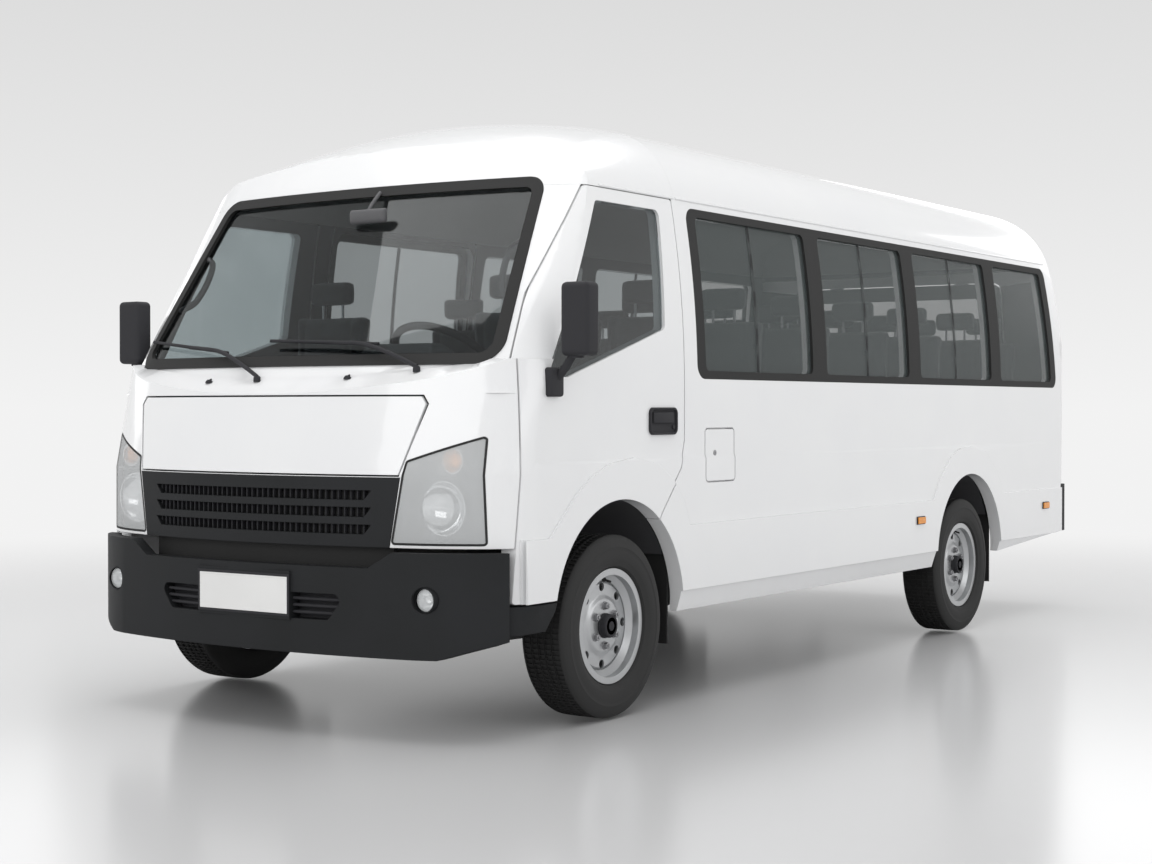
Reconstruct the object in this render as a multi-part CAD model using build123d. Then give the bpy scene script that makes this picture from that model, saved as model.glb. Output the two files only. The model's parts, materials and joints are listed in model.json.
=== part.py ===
from build123d import *
import math
import os
from functools import cache

os.makedirs("parts", exist_ok=True)

# A forward-control minibus. Millimetres, +Z up. The front faces -Y and the driver sits at +X.
# The origin is on the ground, at mid length and mid width.
# Tables whose columns start with y hold places behind the front axle, unless they say otherwise.

# ---- driving dimensions: the whole vehicle ----
WHEELBASE = 3390.0
FRONT_OVERHANG = 940.0
REAR_OVERHANG = 1630.0
HALF_WIDTH = 1045.0
HEIGHT = 2400.0
LENGTH = FRONT_OVERHANG + WHEELBASE + REAR_OVERHANG
FRONT_Y = FRONT_OVERHANG - LENGTH / 2
REAR_Y = FRONT_Y + WHEELBASE
TAIL_Y = REAR_Y + REAR_OVERHANG

# ---- clearances ----
SHUT_GAP = 6.0
SEAT_GAP = 0.3
BEARING_GAP = 0.05

# ---- wheels and tyres ----
TYRE_R = 357.0
TYRE_HALF_WIDTH = 102.5
TREAD_HALF_WIDTH = 86.0
TRACK_HALF = 932.5
RIM_R = 203.0
RIM_FLANGE_R = 220.0
RIM_HALF_WIDTH = 82.5
RIM_WALL = 8.0
HUB_FACE_X = 52.0
HUB_R = 60.0
HUB_CAP_R = 44.0
HUB_CAP_X = 84.0
DRUM_R = 152.0
DRUM_WALL = 12.0
DRUM_BACK_X = -58.0
HAND_HOLES = 8
HAND_HOLE_PCR = 148.0
HAND_HOLE_R = 17.0
SPINDLE_R = 25.0
SPINDLE_END_X = 48.0

# ---- body wall and heights ----
WALL = 55.0
SILL_Z = 372.0
TUCK_Z = 455.0
TUCK_IN = 26.0
CREASE_Z = 990.0
CREASE_STEP = 5.0
CREASE_HALF = 6.0
LEAN_Z = 1250.0
LEAN_R = 4400.0
GUTTER_Z = 2030.0
FLOOR_Z = 760.0
FLOOR_THICKNESS = 40.0
BELT_Z = 1306.0
BAND_TOP_Z = 2005.0

# ---- nose, cowl and windscreen ----
NOSE_Y = -905.0
NOSE_KNEE_Z = 950.0
NOSE_LEAN = 0.22
COWL_Z = 1240.0
COWL_Y = -840.0
COWL_SLOPE = 0.5
SCREEN_Y = -700.0
SCREEN_FOOT_Z = 1340.0
SCREEN_RAKE = 0.65
REAR_CORNER_R = 130.0
CORNER_PROUD = 1.0
BODY_TAIL_Y = 4965.0

# plan of the nose and of the windscreen: x, y behind the tip, for the end of the middle arc, a point
# on the corner's first arc, its end, and the end of the last arc, where the side begins
NOSE_PLAN = ((669.0, 84.0), (817.0, 133.0), (950.0, 215.0), (HALF_WIDTH + 2.0, 430.0))
SCREEN_PLAN = ((780.0, 70.0), (870.0, 92.0), (945.0, 127.0), (HALF_WIDTH + 2.0, 370.0))
BUMPER_PLAN = ((720.0, 75.0), (860.0, 134.0), (970.0, 218.0), (HALF_WIDTH + 2.0, 410.0))
BUMPER_WALL = 50.0

# ---- roof: y, crown height, shoulder radius ----
ROOF_SECTIONS = (
    (-340.0, 2066.0, 30.0),
    (-190.0, 2180.0, 110.0),
    (20.0, 2290.0, 210.0),
    (280.0, 2368.0, 310.0),
    (530.0, HEIGHT, 370.0),
)
ROOF_SEAM_Y = ROOF_SECTIONS[-1][0]

# ---- wheel arches: y, z, radius ----
FRONT_ARCH = (22.0, 388.0, 452.0)
REAR_ARCH = (WHEELBASE + 57.0, 400.0, 438.0)

# ---- flares over the arches and the lower panel they grow out of: y, z of each corner ----
FLARE_PROUD = 9.0
FLARE_Z = 718.0
FLARE_FRONT_Y = -600.0
FLARES = (
    ((-475.0, 705.0), (-412.0, 760.0), (-290.0, 868.0), (-191.0, 931.0), (-56.0, 980.0), (113.0, 997.0),
     (267.0, 972.0), (395.0, 906.0), (480.0, 819.0), (530.0, 705.0)),
    ((2950.0, 705.0), (3051.0, 831.0), (3180.0, 932.0), (3312.0, 976.0), (3475.0, 984.0), (3658.0, 949.0),
     (3803.0, 853.0), (3935.0, 705.0)),
)

# ---- side doors and windows: y, z of each corner ----
FRONT_DOOR = (
    (-630.0, 488.0), (-562.0, 1400.0), (-112.0, GUTTER_Z), (505.0, GUTTER_Z), (500.0, 1060.0),
    (470.0, 950.0), (312.0, 779.0), (150.0, 560.0), (100.0, 488.0),
)
DOOR_WINDOW = ((-455.0, 1300.0), (-60.0, 1975.0), (395.0, 1975.0), (360.0, 1500.0), (-330.0, 1300.0))
DOOR_WINDOW_R = 28.0
DOOR_IN_X = 900.0
PILLAR_WIDTH = 20.0
SLIDING_DOOR_Y = (610.0, 1690.0)
SLIDING_DOOR_LOW_Z = 420.0
BAND_Y = (605.0, 4778.0)
BAND_LEAN = 60.0
BAND_R = 60.0
BAYS = ((640.0, 1672.0), (1742.0, 2723.0), (2793.0, 3805.0), (3875.0, 4730.0))
MULLION_DEPTH = 30.0
FRAME_WIDTH = 34.0
GLASS_THICKNESS = 6.0
GLASS_SET = 12.0
TAIL_PANEL_DEPTH = 90.0

# ---- windscreen opening: half width and z, at the foot and at the head ----
SCREEN_FOOT = (924.0, 1345.0)
SCREEN_HEAD = (823.0, 2068.0)
SCREEN_R = 80.0
SCREEN_SEAL = 42.0
SEAL_PROUD = 6.0

# ---- front lid, grille, lamps: x and z of each corner; the lid's rear corners are thinned to clear the hole ----
LID = ((650.0, 946.0), (735.0, 1232.0))
LID_DEPTH = 25.0
LID_CORNER = 30.0
LID_PLAY = 6.0
LID_SKIN = 12.0
LID_THIN_CORNER = (690.0, -840.0)
LATCH_BAR = (700.0, 1020.0, 1045.0)
LAMP = ((620.0, 700.0), (672.0, 1000.0), (935.0, 1092.0), (948.0, 700.0))
LAMP_R = 14.0
LAMP_DEPTH = 90.0
GRILLE_Z = (690.0, 940.0)
GRILLE_TAPER = 0.16
GRILLE_DEPTH = 45.0
GRILLE_SLOTS = ((735.0, 770.0), (797.0, 832.0), (858.0, 893.0))
GRILLE_SLOT_X = (515.0, 545.0)

# ---- bumpers ----
PLATE_THICKNESS = 4.0
PLATE = (460.0, 154.0)
PLATE_Z = 507.0
BUMPER_Y = PLATE_THICKNESS - FRONT_OVERHANG
BUMPER_END_Y = -655.0
BUMPER_FACE = (
    (-HALF_WIDTH, 372.0), (-HALF_WIDTH, 676.0), (-655.0, 676.0), (-560.0, 618.0), (560.0, 618.0),
    (655.0, 676.0), (HALF_WIDTH, 676.0), (HALF_WIDTH, 372.0), (820.0, 300.0), (-820.0, 300.0),
)
INTAKE = ((470.0, 520.0), (395.0, 425.0))
FOG_X = 781.0
FOG_Z = 512.0
FOG_R = 46.0
FOG_SET = 14.0
FOG_REACH = 300.0
SILL_PIECE = (
    (BUMPER_END_Y + SEAT_GAP, 380.0), (BUMPER_END_Y + SEAT_GAP, 482.0), (-405.0, 482.0), (-445.0, 380.0),
)
REAR_BUMPER_Y = 4845.0
REAR_BUMPER_Z = (460.0, 735.0)
REAR_BUMPER_DEPTH = 62.0
TAILGATE = ((-690.0, 748.0), (-690.0, 1940.0), (690.0, 1940.0), (690.0, 748.0))
TAILGATE_WINDOW = ((-580.0, 1330.0), (-560.0, 1850.0), (560.0, 1850.0), (580.0, 1330.0))

# ---- fuel flap in the left side ----
FLAP = ((661.0, 882.0), (661.0, 1106.0), (909.0, 1106.0), (909.0, 882.0))
FLAP_R = 22.0
FLAP_DEPTH = 20.0
FLAP_POCKET = 44.0
FLAP_LEDGE = 16.0

TAILGATE_HINGE_X = 420.0
TAILGATE_HINGE_Y = 4848.0
TAILGATE_HINGE_R = 12.0
TAILGATE_HINGE_LENGTH = 90.0
TAILGATE_PIN_R = 5.0

# ---- rear lamps, side markers ----
REAR_LAMP = ((850.0, 852.0), (850.0, 1098.0), (HALF_WIDTH, 1098.0), (HALF_WIDTH, 852.0))
REAR_LAMP_DEPTH = 40.0
MARKERS_Y = (2790.0, 4563.0)
MARKER = (96.0, 40.0, 12.0)
MARKER_Z = 623.0

# ---- wipers: x, y of the pivot; x, y, z of the elbow and of the blade's two ends ----
WIPERS = (
    ((-110.0, -746.0), (-370.0, -672.0, 1412.0), (-878.0, -548.0, 1459.0), (-336.0, -672.0, 1403.0)),
    ((620.0, -685.0), (364.0, -666.0, 1428.0), (-123.0, -656.0, 1446.0), (414.0, -652.0, 1425.0)),
)
WIPER_PIVOT_R = 14.0
WIPER_R = 9.0

# ---- mirrors on the front doors ----
MIRROR_X = (1085.0, 1206.0)
MIRROR_Y = -365.0
MIRROR_DEPTH = 85.0
MIRROR_Z = (1375.0, 1640.0)

# ---- mud flaps: y, x range, low z ----
MUD_FLAPS = ((455.0, 240.0), (WHEELBASE + 480.0, 229.0))
MUD_FLAP_X = (815.0, 985.0)

# ---- floor, wheel housings, engine and its cover; where a front door's inner edge swings past the floor ----
DOOR_SWING_X = 940.0
DOOR_SWING_Y = -555.0
HOUSING_X = (605.0, 972.0)
HOUSING_GAP = 24.0
HOUSING_WALL = 10.0
ENGINE_X = 215.0
ENGINE_Y = (-330.0, 640.0)
ENGINE_Z = (455.0, 930.0)
COVER_WALL = 25.0
COVER_GAP = 20.0
GEARBOX_X = 130.0
GEARBOX_LENGTH = 420.0
GEARBOX_Z = (470.0, 650.0)
SHAFT_R = 38.0

# ---- frame rails; y and width of each crossmember; y of each outrigger ----
RAIL_X = 430.0
RAIL_WIDTH = 60.0
RAIL_LOW_Z = 520.0
RAIL_TOP_Z = 660.0
RAIL_FRONT_Y = -800.0
RAIL_END_GAP = 60.0
BUMPER_ARM_HEIGHT = 80.0
CROSSMEMBERS = ((-790.0, 60.0), (1250.0, 60.0), (2400.0, 60.0), (4000.0, 60.0), (4820.0, 60.0))
CROSSMEMBER_HEIGHT = 50.0
OUTRIGGERS = (720.0, 1500.0, 2300.0, 4100.0, 4700.0)
OUTRIGGER_WIDTH = 60.0
OUTRIGGER_END_GAP = 30.0

TOW_EYE_BORE_R = 20.0
TOW_EYE_R = 42.0
TOW_EYE_THICKNESS = 25.0
TOW_EYE_Z = 430.0

# ---- axles and springs ----
KINGPIN_X = 800.0
KINGPIN_R = 18.0
BEAM_HALF = 36.0
BEAM_Z = (265.0, 340.0)
EYE_R = 42.0
EYE_HALF = 48.0
NECK_SLACK = 8.0
AXLE_TUBE_R = 45.0
CASING_R = 130.0
CASING_LENGTH = 220.0
CASING_EDGE_R = 40.0
SPRING_X = 400.0
SPRING_WIDTH = 60.0
SPRING_THICKNESS = 40.0
SPRING_HALF_LENGTH = 560.0

# ---- steering knuckles and tie rod ----
LUG_GAP = 1.0
LUG_THICKNESS = 26.0
LUG_R = 38.0
KNUCKLE_PLATE_X = (848.0, 868.0)
BACKING_X = (868.0, 872.0)
ARM_HALF_WIDTH = 18.0
ARM_THICKNESS = 20.0
TIE_ROD_Y = 160.0
BALL_PIN_R = 9.0
ROD_EYE_R = 20.0
ROD_R = 11.0
ROD_EYE_HEIGHT = 26.0
OPEN_PIN_GAP = 0.6

# ---- tank and exhaust ----
TANK_X = (460.0, 900.0)
TANK_Y = (1000.0, 2000.0)
TANK_Z = (410.0, RAIL_TOP_Z)
TANK_R = 50.0
PIPE_R = 28.0
MUFFLER_R = 90.0
MUFFLER_LENGTH = 600.0
EXHAUST = (
    (-ENGINE_X + 20.0, 520.0, 500.0), (-600.0, 800.0, 470.0), (-600.0, 3000.0, 470.0), (-600.0, 3240.0, 560.0),
    (-600.0, 3560.0, 560.0), (-600.0, 3800.0, 440.0), (-600.0, 5000.0, 400.0),
)
MUFFLER_Y = 1300.0

# ---- steering wheel and dashboard ----
WHEEL_CENTRE = (450.0, -300.0, 1375.0)
WHEEL_RADIUS = 205.0
WHEEL_RIM_R = 15.0
COLUMN_FOOT = (450.0, -540.0, 1050.0)
DASH = (
    (-640.0, 1000.0), (-640.0, 1290.0), (-560.0, 1385.0), (-470.0, 1360.0), (-440.0, 1200.0), (-500.0, 1000.0),
)

# ---- seats: x centre, y of the back, places side by side ----
SEAT_WIDTH = 425.0
SEAT_LENGTH = 450.0
CUSHION_THICKNESS = 110.0
CUSHION_TOP_Z = 1180.0
BACK_THICKNESS = 95.0
BACK_TOP_Z = 1735.0
FRONT_SEAT_X = 480.0
FRONT_SEAT_Y = 60.0
LEFT_BENCH_X = 520.0
RIGHT_SEAT_X = -733.0
SEAT_ROWS = 6
FIRST_ROW_Y = 650.0
ROW_PITCH = 660.0
REAR_BENCH_Y = 4620.0



def box(x0, x1, y0, y1, z0, z1):
    """A plain block between two corners."""
    return Pos((x0 + x1) / 2, (y0 + y1) / 2, (z0 + z1) / 2) * Box(x1 - x0, y1 - y0, z1 - z0)


def polygon(points, radius=0.0):
    """A closed outline in a plane's own two axes, with every corner rounded."""
    if radius > 0:
        return FilletPolyline(*points, radius=radius, close=True)
    return Polyline(*points, close=True)


def across_plane(y):
    """The plane that cuts across the vehicle at a place along it, its own axes along X and Z."""
    return Plane(origin=(0, y, 0), x_dir=(1, 0, 0), z_dir=(0, -1, 0))


def pushed(outline, vector):
    """The solid that a closed outline sweeps along a vector."""
    return Solid.extrude(make_face(outline).face(), Vector(*vector))


def side_prism(points, x0, x1, radius=0.0, y_from=FRONT_Y):
    """An outline in Y and Z, its Y measured from y_from, pushed along X."""
    moved = [(y + y_from, z) for y, z in points]
    return pushed(Plane.YZ.offset(x0) * polygon(moved, radius), (x1 - x0, 0, 0))


def front_prism(points, y0, y1, radius=0.0, y_from=FRONT_Y):
    """An outline in X and Z pushed along Y."""
    return pushed(across_plane(y0 + y_from) * polygon(points, radius), (0, y1 - y0, 0))


def cylinder_x(x0, x1, y, z, radius):
    """A round bar along X."""
    return Pos((x0 + x1) / 2, y, z) * Rot(0, 90, 0) * Cylinder(radius, x1 - x0)


def cylinder_z(x, y, z0, z1, radius):
    """A round bar along Z."""
    return Pos(x, y, (z0 + z1) / 2) * Cylinder(radius, z1 - z0)


def cylinder_y(x, y0, y1, z, radius):
    """A round bar along Y."""
    return Pos(x, (y0 + y1) / 2, z) * Rot(90, 0, 0) * Cylinder(radius, y1 - y0)


def rod_between(start, end, radius):
    """A round bar between two points."""
    line = Line(start, end)
    return sweep(Plane(origin=start, z_dir=line % 0) * Circle(radius), line)


def mirrored(shape):
    """The same shape on the other side of the vehicle."""
    return mirror(shape, about=Plane.YZ)


def both_sides(shape):
    """A shape and its mirror image."""
    return Compound(children=solids_of(shape) + solids_of(mirrored(shape)))


def solids_of(shape):
    """The solids of a shape as a list."""
    return list(shape.solids())


def largest(shape):
    """The biggest solid of a shape."""
    return shape.solids().sort_by(SortBy.VOLUME)[-1]


def joined(shapes):
    """Several shapes as one compound of their solids."""
    return Compound(children=[solid for shape in shapes for solid in solids_of(shape)])


def save(shape, node):
    """Write one node's solids."""
    export_step(shape, "parts/" + node + ".step")


# ---- the body's outer and inner forms ----
def corner_middle(start, end):
    """Middle of the arc that leaves start and reaches end running straight back."""
    across = end[0] - start[0]
    back = end[1] - start[1]
    radius = (across ** 2 + back ** 2) / (2 * across)
    half_turn = math.atan2(back, radius - across) / 2
    return (end[0] - radius + radius * math.cos(half_turn), end[1] - radius * math.sin(half_turn))


def plan_outline(tip_y, rows, inset):
    """Plan of the body from a nose tip back to the rounded tail, drawn inset."""
    tip = tip_y + FRONT_Y
    first, bend, second, last = [(x, y + tip) for x, y in rows]
    tail = BODY_TAIL_Y + FRONT_Y
    corner = REAR_CORNER_R * (1 - math.sqrt(0.5))
    corner_start = (last[0], tail - REAR_CORNER_R)
    corner_end = (last[0] - REAR_CORNER_R, tail)
    half = [
        ThreePointArc(first, bend, second),
        ThreePointArc(second, corner_middle(second, last), last),
        Line(last, corner_start),
        ThreePointArc(corner_start, (last[0] - corner, tail - corner), corner_end),
    ]
    other = [mirror(edge, about=Plane.YZ) for edge in half]
    nose = ThreePointArc((-first[0], first[1]), (0, tip), first)
    back = Line(corner_end, (-corner_end[0], tail))
    face = make_face(Curve() + [nose, back] + half + other)
    if inset:
        face = offset(face, amount=-inset, kind=Kind.INTERSECTION)
    return face.face()


def raked_prism(tip_y, rows, inset, z0, z1, rake):
    """The plan pushed upwards along a backward rake."""
    face = Pos(0, 0, z0) * plan_outline(tip_y, rows, inset)
    return Solid.extrude(face, Vector(0, rake * (z1 - z0), z1 - z0))


def side_x(z, inset):
    """Half width at a height where the side leans in."""
    radius = LEAN_R - inset
    return HALF_WIDTH - CREASE_STEP - LEAN_R + math.sqrt(radius ** 2 - (z - LEAN_Z) ** 2)


def body_section(inset, low_z, top_z):
    """Section of the body sides, from the sill up to a flat top, drawn inset."""
    x_side = HALF_WIDTH - inset
    x_top = side_x(top_z, inset)
    middle_z = (LEAN_Z + top_z) / 2
    x_sill = x_side - TUCK_IN
    x_high = x_side - CREASE_STEP
    right = [
        Line((x_sill, low_z), (x_side, TUCK_Z)),
        Line((x_side, TUCK_Z), (x_side, CREASE_Z - CREASE_HALF)),
        Line((x_side, CREASE_Z - CREASE_HALF), (x_high, CREASE_Z + CREASE_HALF)),
        Line((x_high, CREASE_Z + CREASE_HALF), (x_high, LEAN_Z)),
        ThreePointArc((x_high, LEAN_Z), (side_x(middle_z, inset), middle_z), (x_top, top_z)),
    ]
    left = [mirror(edge, about=Plane.YZ) for edge in right]
    ends = [Line((-x_sill, low_z), (x_sill, low_z)), Line((-x_top, top_z), (x_top, top_z))]
    return Curve() + ends + right + left


@cache
def tube(inset, low_z, top_z):
    """The section pushed along the whole body."""
    outline = across_plane(TAIL_Y + WALL) * body_section(inset, low_z, top_z)
    return pushed(outline, (0, -LENGTH - 2 * WALL, 0))


def tail_prism(inset):
    """Everything ahead of the tail's leaning face."""
    back = BODY_TAIL_Y - inset
    ahead = NOSE_Y - 500.0
    points = (
        (ahead, -200), (back, -200), (back, 1100), (back - 125, 1960), (back - 230, 2240),
        (back - 600, 2500), (ahead, 2500),
    )
    return side_prism(points, -HALF_WIDTH - WALL, HALF_WIDTH + WALL, radius=150)


def rounded_tail(inset):
    """Everything ahead of the tail's leaning face and inside the corners' upright rounds."""
    x = HALF_WIDTH - inset + CORNER_PROUD
    plan = box(-x, x, -LENGTH, FRONT_Y + BODY_TAIL_Y - inset, -200, HEIGHT + 200)
    corners = plan.edges().filter_by(Axis.Z).group_by(Axis.Y)[-1]
    return tail_prism(inset) & fillet(corners, max(REAR_CORNER_R - inset, WALL / 2))


@cache
def lower_form(inset):
    """Nose and lower body below the cowl."""
    ahead = NOSE_Y - 500.0
    rise = 250.0
    cowl_z = COWL_Z - inset * math.hypot(1, COWL_SLOPE)
    high_z = cowl_z + COWL_SLOPE * rise
    points = (
        (ahead, -200), (ahead, cowl_z + COWL_SLOPE * (ahead - COWL_Y)), (COWL_Y + rise, high_z),
        (BODY_TAIL_Y, high_z), (BODY_TAIL_Y, -200),
    )
    upright = raked_prism(NOSE_Y, NOSE_PLAN, inset, -100, COWL_Z + rise, 0)
    lean_tip = NOSE_Y - NOSE_LEAN * NOSE_KNEE_Z
    leaning = raked_prism(lean_tip, NOSE_PLAN, inset, 0, COWL_Z + rise, NOSE_LEAN)
    low = box(-HALF_WIDTH, HALF_WIDTH, -LENGTH, LENGTH, -100, NOSE_KNEE_Z)
    nose = (upright & low) + (leaning - low)
    return nose & side_prism(points, -HALF_WIDTH - WALL, HALF_WIDTH + WALL)


@cache
def screen_form(inset):
    """The raked prism behind the windscreen and its pillars."""
    tip = SCREEN_Y - SCREEN_RAKE * SCREEN_FOOT_Z
    return raked_prism(tip, SCREEN_PLAN, inset, 0, HEIGHT + 2 * WALL, SCREEN_RAKE)


@cache
def body_form(inset, low_z, top_z):
    """The body below the gutter."""
    upper = screen_form(inset) & box(-LENGTH, LENGTH, -LENGTH, LENGTH, COWL_Z, HEIGHT)
    return tube(inset, low_z, top_z) & (lower_form(inset) + upper) & rounded_tail(inset)


def roof_outline(crown_z, shoulder_r, inset, y):
    """Section of the roof above the gutter: shoulder, crown, shoulder."""
    slope = math.asin((GUTTER_Z - LEAN_Z) / LEAN_R)
    cx = side_x(GUTTER_Z, 0) - shoulder_r * math.cos(slope)
    cz = GUTTER_Z - shoulder_r * math.sin(slope)
    down = cz - crown_z
    crown_r = (shoulder_r ** 2 - cx ** 2 - down ** 2) / (2 * down + 2 * shoulder_r)
    turn = math.atan2(cx, cz - crown_z + crown_r)
    small = max(shoulder_r - inset, 2.0)
    base_z = GUTTER_Z - 2 * inset
    half = math.pi / 2 - slope
    middle = (turn + half) / 2
    foot = (cx + small * math.cos(slope), cz + small * math.sin(slope))
    waist = (cx + small * math.sin(middle), cz + small * math.cos(middle))
    join = (cx + small * math.sin(turn), cz + small * math.cos(turn))
    right = [ThreePointArc(foot, waist, join)]
    if inset:
        right.append(Line((foot[0], base_z), foot))
    left = [mirror(edge, about=Plane.YZ) for edge in right]
    top = ThreePointArc((-join[0], join[1]), (0, crown_z - shoulder_r + small), join)
    bottom = Line((-foot[0], base_z), (foot[0], base_z))
    return make_face(across_plane(y + FRONT_Y) * (Curve() + [top, bottom] + right + left))


def roof_form(inset):
    """The brow over the windscreen, and the level roof behind it."""
    sections = [roof_outline(crown, shoulder, inset, y) for y, crown, shoulder in ROOF_SECTIONS]
    brow = loft(sections)
    rear = Solid.extrude(sections[-1].face(), Vector(0, BODY_TAIL_Y - ROOF_SEAM_Y, 0))
    return brow & screen_form(inset), rear & rounded_tail(inset)


def arches():
    """Round openings over the four wheels."""
    cuts = []
    for y, z, radius in (FRONT_ARCH, REAR_ARCH):
        cut = cylinder_x(HALF_WIDTH - 3 * WALL, HALF_WIDTH + WALL, FRONT_Y + y, z, radius)
        cuts += [cut, mirrored(cut)]
    return cuts


def grown(points, amount):
    """The corners of an outline moved outwards, or inwards where the amount is negative."""
    face = offset(make_face(Polyline(*points, close=True)), amount=amount, kind=Kind.INTERSECTION)
    edges = face.face().outer_wire().order_edges()
    return [((edge @ 0).X, (edge @ 0).Y) for edge in edges]


def lid_outline(play):
    """The front lid's corners in X and Z, its top corners brought in by the play."""
    (low_x, low_z), (top_x, top_z) = LID
    top_x = top_x - play
    side_x = top_x - (top_x - low_x) * LID_CORNER / (top_z - low_z)
    side_z = top_z - LID_CORNER
    cut_x = top_x - LID_CORNER
    return (
        (-low_x, low_z), (-side_x, side_z), (-cut_x, top_z), (cut_x, top_z), (side_x, side_z), (low_x, low_z),
    )


def band(y0, y1, inset):
    """The window band between two places, its ends rounded."""
    low = BELT_Z + inset
    top = BAND_TOP_Z - inset
    lean = BAND_LEAN if y1 > BAYS[-1][0] else 0.0
    return ((y0 + inset, low), (y0 + inset, top), (y1 - inset - lean, top), (y1 - inset, low))


OUT_X = HALF_WIDTH + WALL
IN_X = HALF_WIDTH - 3 * WALL - 340.0

outer = body_form(0, SILL_Z, GUTTER_Z)
inner = body_form(WALL, -100, GUTTER_Z + 2 * WALL)
flare_zone = box(-OUT_X, OUT_X, FRONT_Y + FLARE_FRONT_Y, FRONT_Y + REAR_BUMPER_Y, TUCK_Z, FLARE_Z)
for outline in FLARES:
    flare_zone = flare_zone + side_prism(outline, -OUT_X, OUT_X)
lower_panel = body_form(-FLARE_PROUD, SILL_Z, GUTTER_Z) & flare_zone
lower_panel = lower_panel - body_form(WALL / 2, 0, GUTTER_Z)
shell = (outer + lower_panel) - inner - arches()
skin = body_form(0, SILL_Z, GUTTER_Z + 1) - body_form(MULLION_DEPTH, -100, GUTTER_Z + WALL)

# ---- front doors ----
(foot_x, foot_z), (head_x, head_z) = SCREEN_FOOT, SCREEN_HEAD
screen_corners = ((-foot_x, foot_z), (-head_x, head_z), (head_x, head_z), (foot_x, foot_z))
pillar = front_prism(grown(screen_corners, PILLAR_WIDTH), NOSE_Y, 300)
pillar_room = front_prism(grown(screen_corners, PILLAR_WIDTH + SHUT_GAP), NOSE_Y, 300)
door_hole = side_prism(grown(FRONT_DOOR, SHUT_GAP / 2), DOOR_IN_X, OUT_X, radius=12) - pillar
door_block = side_prism(grown(FRONT_DOOR, -SHUT_GAP / 2), DOOR_IN_X + SHUT_GAP, OUT_X, radius=12) - pillar_room
door_window = side_prism(DOOR_WINDOW, IN_X, OUT_X, radius=DOOR_WINDOW_R)
door_left = (shell & door_block) - door_window
glass_outline = side_prism(grown(DOOR_WINDOW, -SEAT_GAP), IN_X, OUT_X, radius=DOOR_WINDOW_R)
glass_layer = body_form(GLASS_SET, SILL_Z, GUTTER_Z) - body_form(GLASS_SET + GLASS_THICKNESS, 0, GUTTER_Z)
door_glass_left = glass_layer & glass_outline

# ---- body front: cowl, corner panels and windscreen pillars ----
front_zone = box(-OUT_X, OUT_X, -LENGTH, FRONT_Y + FRONT_DOOR[2][0], GRILLE_Z[0], GUTTER_Z)
screen_hole = front_prism(screen_corners, NOSE_Y - 100, 300, radius=SCREEN_R)
lid_hole = front_prism(grown(lid_outline(0), SHUT_GAP / 2), NOSE_Y - 100, COWL_Y + 200)
lid_block = front_prism(grown(lid_outline(LID_PLAY), -SHUT_GAP / 2), NOSE_Y - 100, COWL_Y + 200)
lamp_hole = front_prism(LAMP, NOSE_Y - 100, NOSE_Y + 500, radius=LAMP_R)
lamp_block = front_prism(grown(LAMP, -SEAT_GAP), NOSE_Y - 100, NOSE_Y + 500, radius=LAMP_R)
grille_low_z, grille_top_z = GRILLE_Z
grille_low_x = LAMP[0][0] - SHUT_GAP / 2
grille_top_x = grille_low_x + GRILLE_TAPER * (grille_top_z - grille_low_z)
grille_corners = (
    (-grille_low_x, grille_low_z), (-grille_top_x, grille_top_z), (grille_top_x, grille_top_z),
    (grille_low_x, grille_low_z),
)
grille_hole = front_prism(grown(grille_corners, SEAT_GAP), NOSE_Y - 100, COWL_Y + 200)
grille_block = front_prism(grille_corners, NOSE_Y - 100, COWL_Y + 200)
body_front = (shell & front_zone) - door_hole - mirrored(door_hole) - screen_hole - lid_hole
body_front = largest(body_front - lamp_hole - mirrored(lamp_hole) - grille_hole)
latch_x, latch_low_z, latch_top_z = LATCH_BAR
latch_zone = box(-latch_x, latch_x, -LENGTH, FRONT_Y + SCREEN_Y, latch_low_z, latch_top_z)
body_front = body_front + ((body_form(LID_DEPTH + SEAT_GAP, 0, GUTTER_Z) - inner) & latch_zone)
nose = outer & front_zone
front_lid = (nose - body_form(LID_DEPTH, 0, GUTTER_Z)) & lid_block
thin_x, thin_y = LID_THIN_CORNER
thin_zone = box(thin_x, HALF_WIDTH, FRONT_Y + thin_y, FRONT_Y + COWL_Y + 200, 0, HEIGHT)
front_lid = front_lid - (body_form(LID_SKIN, 0, GUTTER_Z) & (thin_zone + mirrored(thin_zone)))
lamp = ((nose - body_form(LAMP_DEPTH, 0, GUTTER_Z)) & lamp_block) - inner

# ---- grille: a frame, its slats and the upright ribs behind them ----
grille = (nose - body_form(GRILLE_DEPTH, 0, GUTTER_Z)) & grille_block
for low_z, top_z in GRILLE_SLOTS:
    low_x, top_x = GRILLE_SLOT_X
    slot = ((-low_x, low_z), (-top_x, top_z), (top_x, top_z), (low_x, low_z))
    grille = grille - front_prism(slot, NOSE_Y - 100, COWL_Y + 200)

# ---- windscreen and its rubber seal ----
screen_zone = box(-OUT_X, OUT_X, -LENGTH, FRONT_Y + 200, COWL_Z, HEIGHT)
pane = front_prism(grown(screen_corners, -SCREEN_SEAL), NOSE_Y - 100, 300, radius=SCREEN_R / 2)
windshield = (screen_form(GLASS_SET) - screen_form(GLASS_SET + GLASS_THICKNESS)) & screen_zone & pane
seal_outline = front_prism(grown(screen_corners, -SEAT_GAP), NOSE_Y - 100, 300, radius=SCREEN_R)
seal_hole = front_prism(
    grown(screen_corners, SEAT_GAP - SCREEN_SEAL), NOSE_Y - 100, 300, radius=SCREEN_R / 2
)
screen_seal = ((screen_form(-SEAL_PROUD) - screen_form(MULLION_DEPTH)) & screen_zone & seal_outline) - seal_hole

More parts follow.
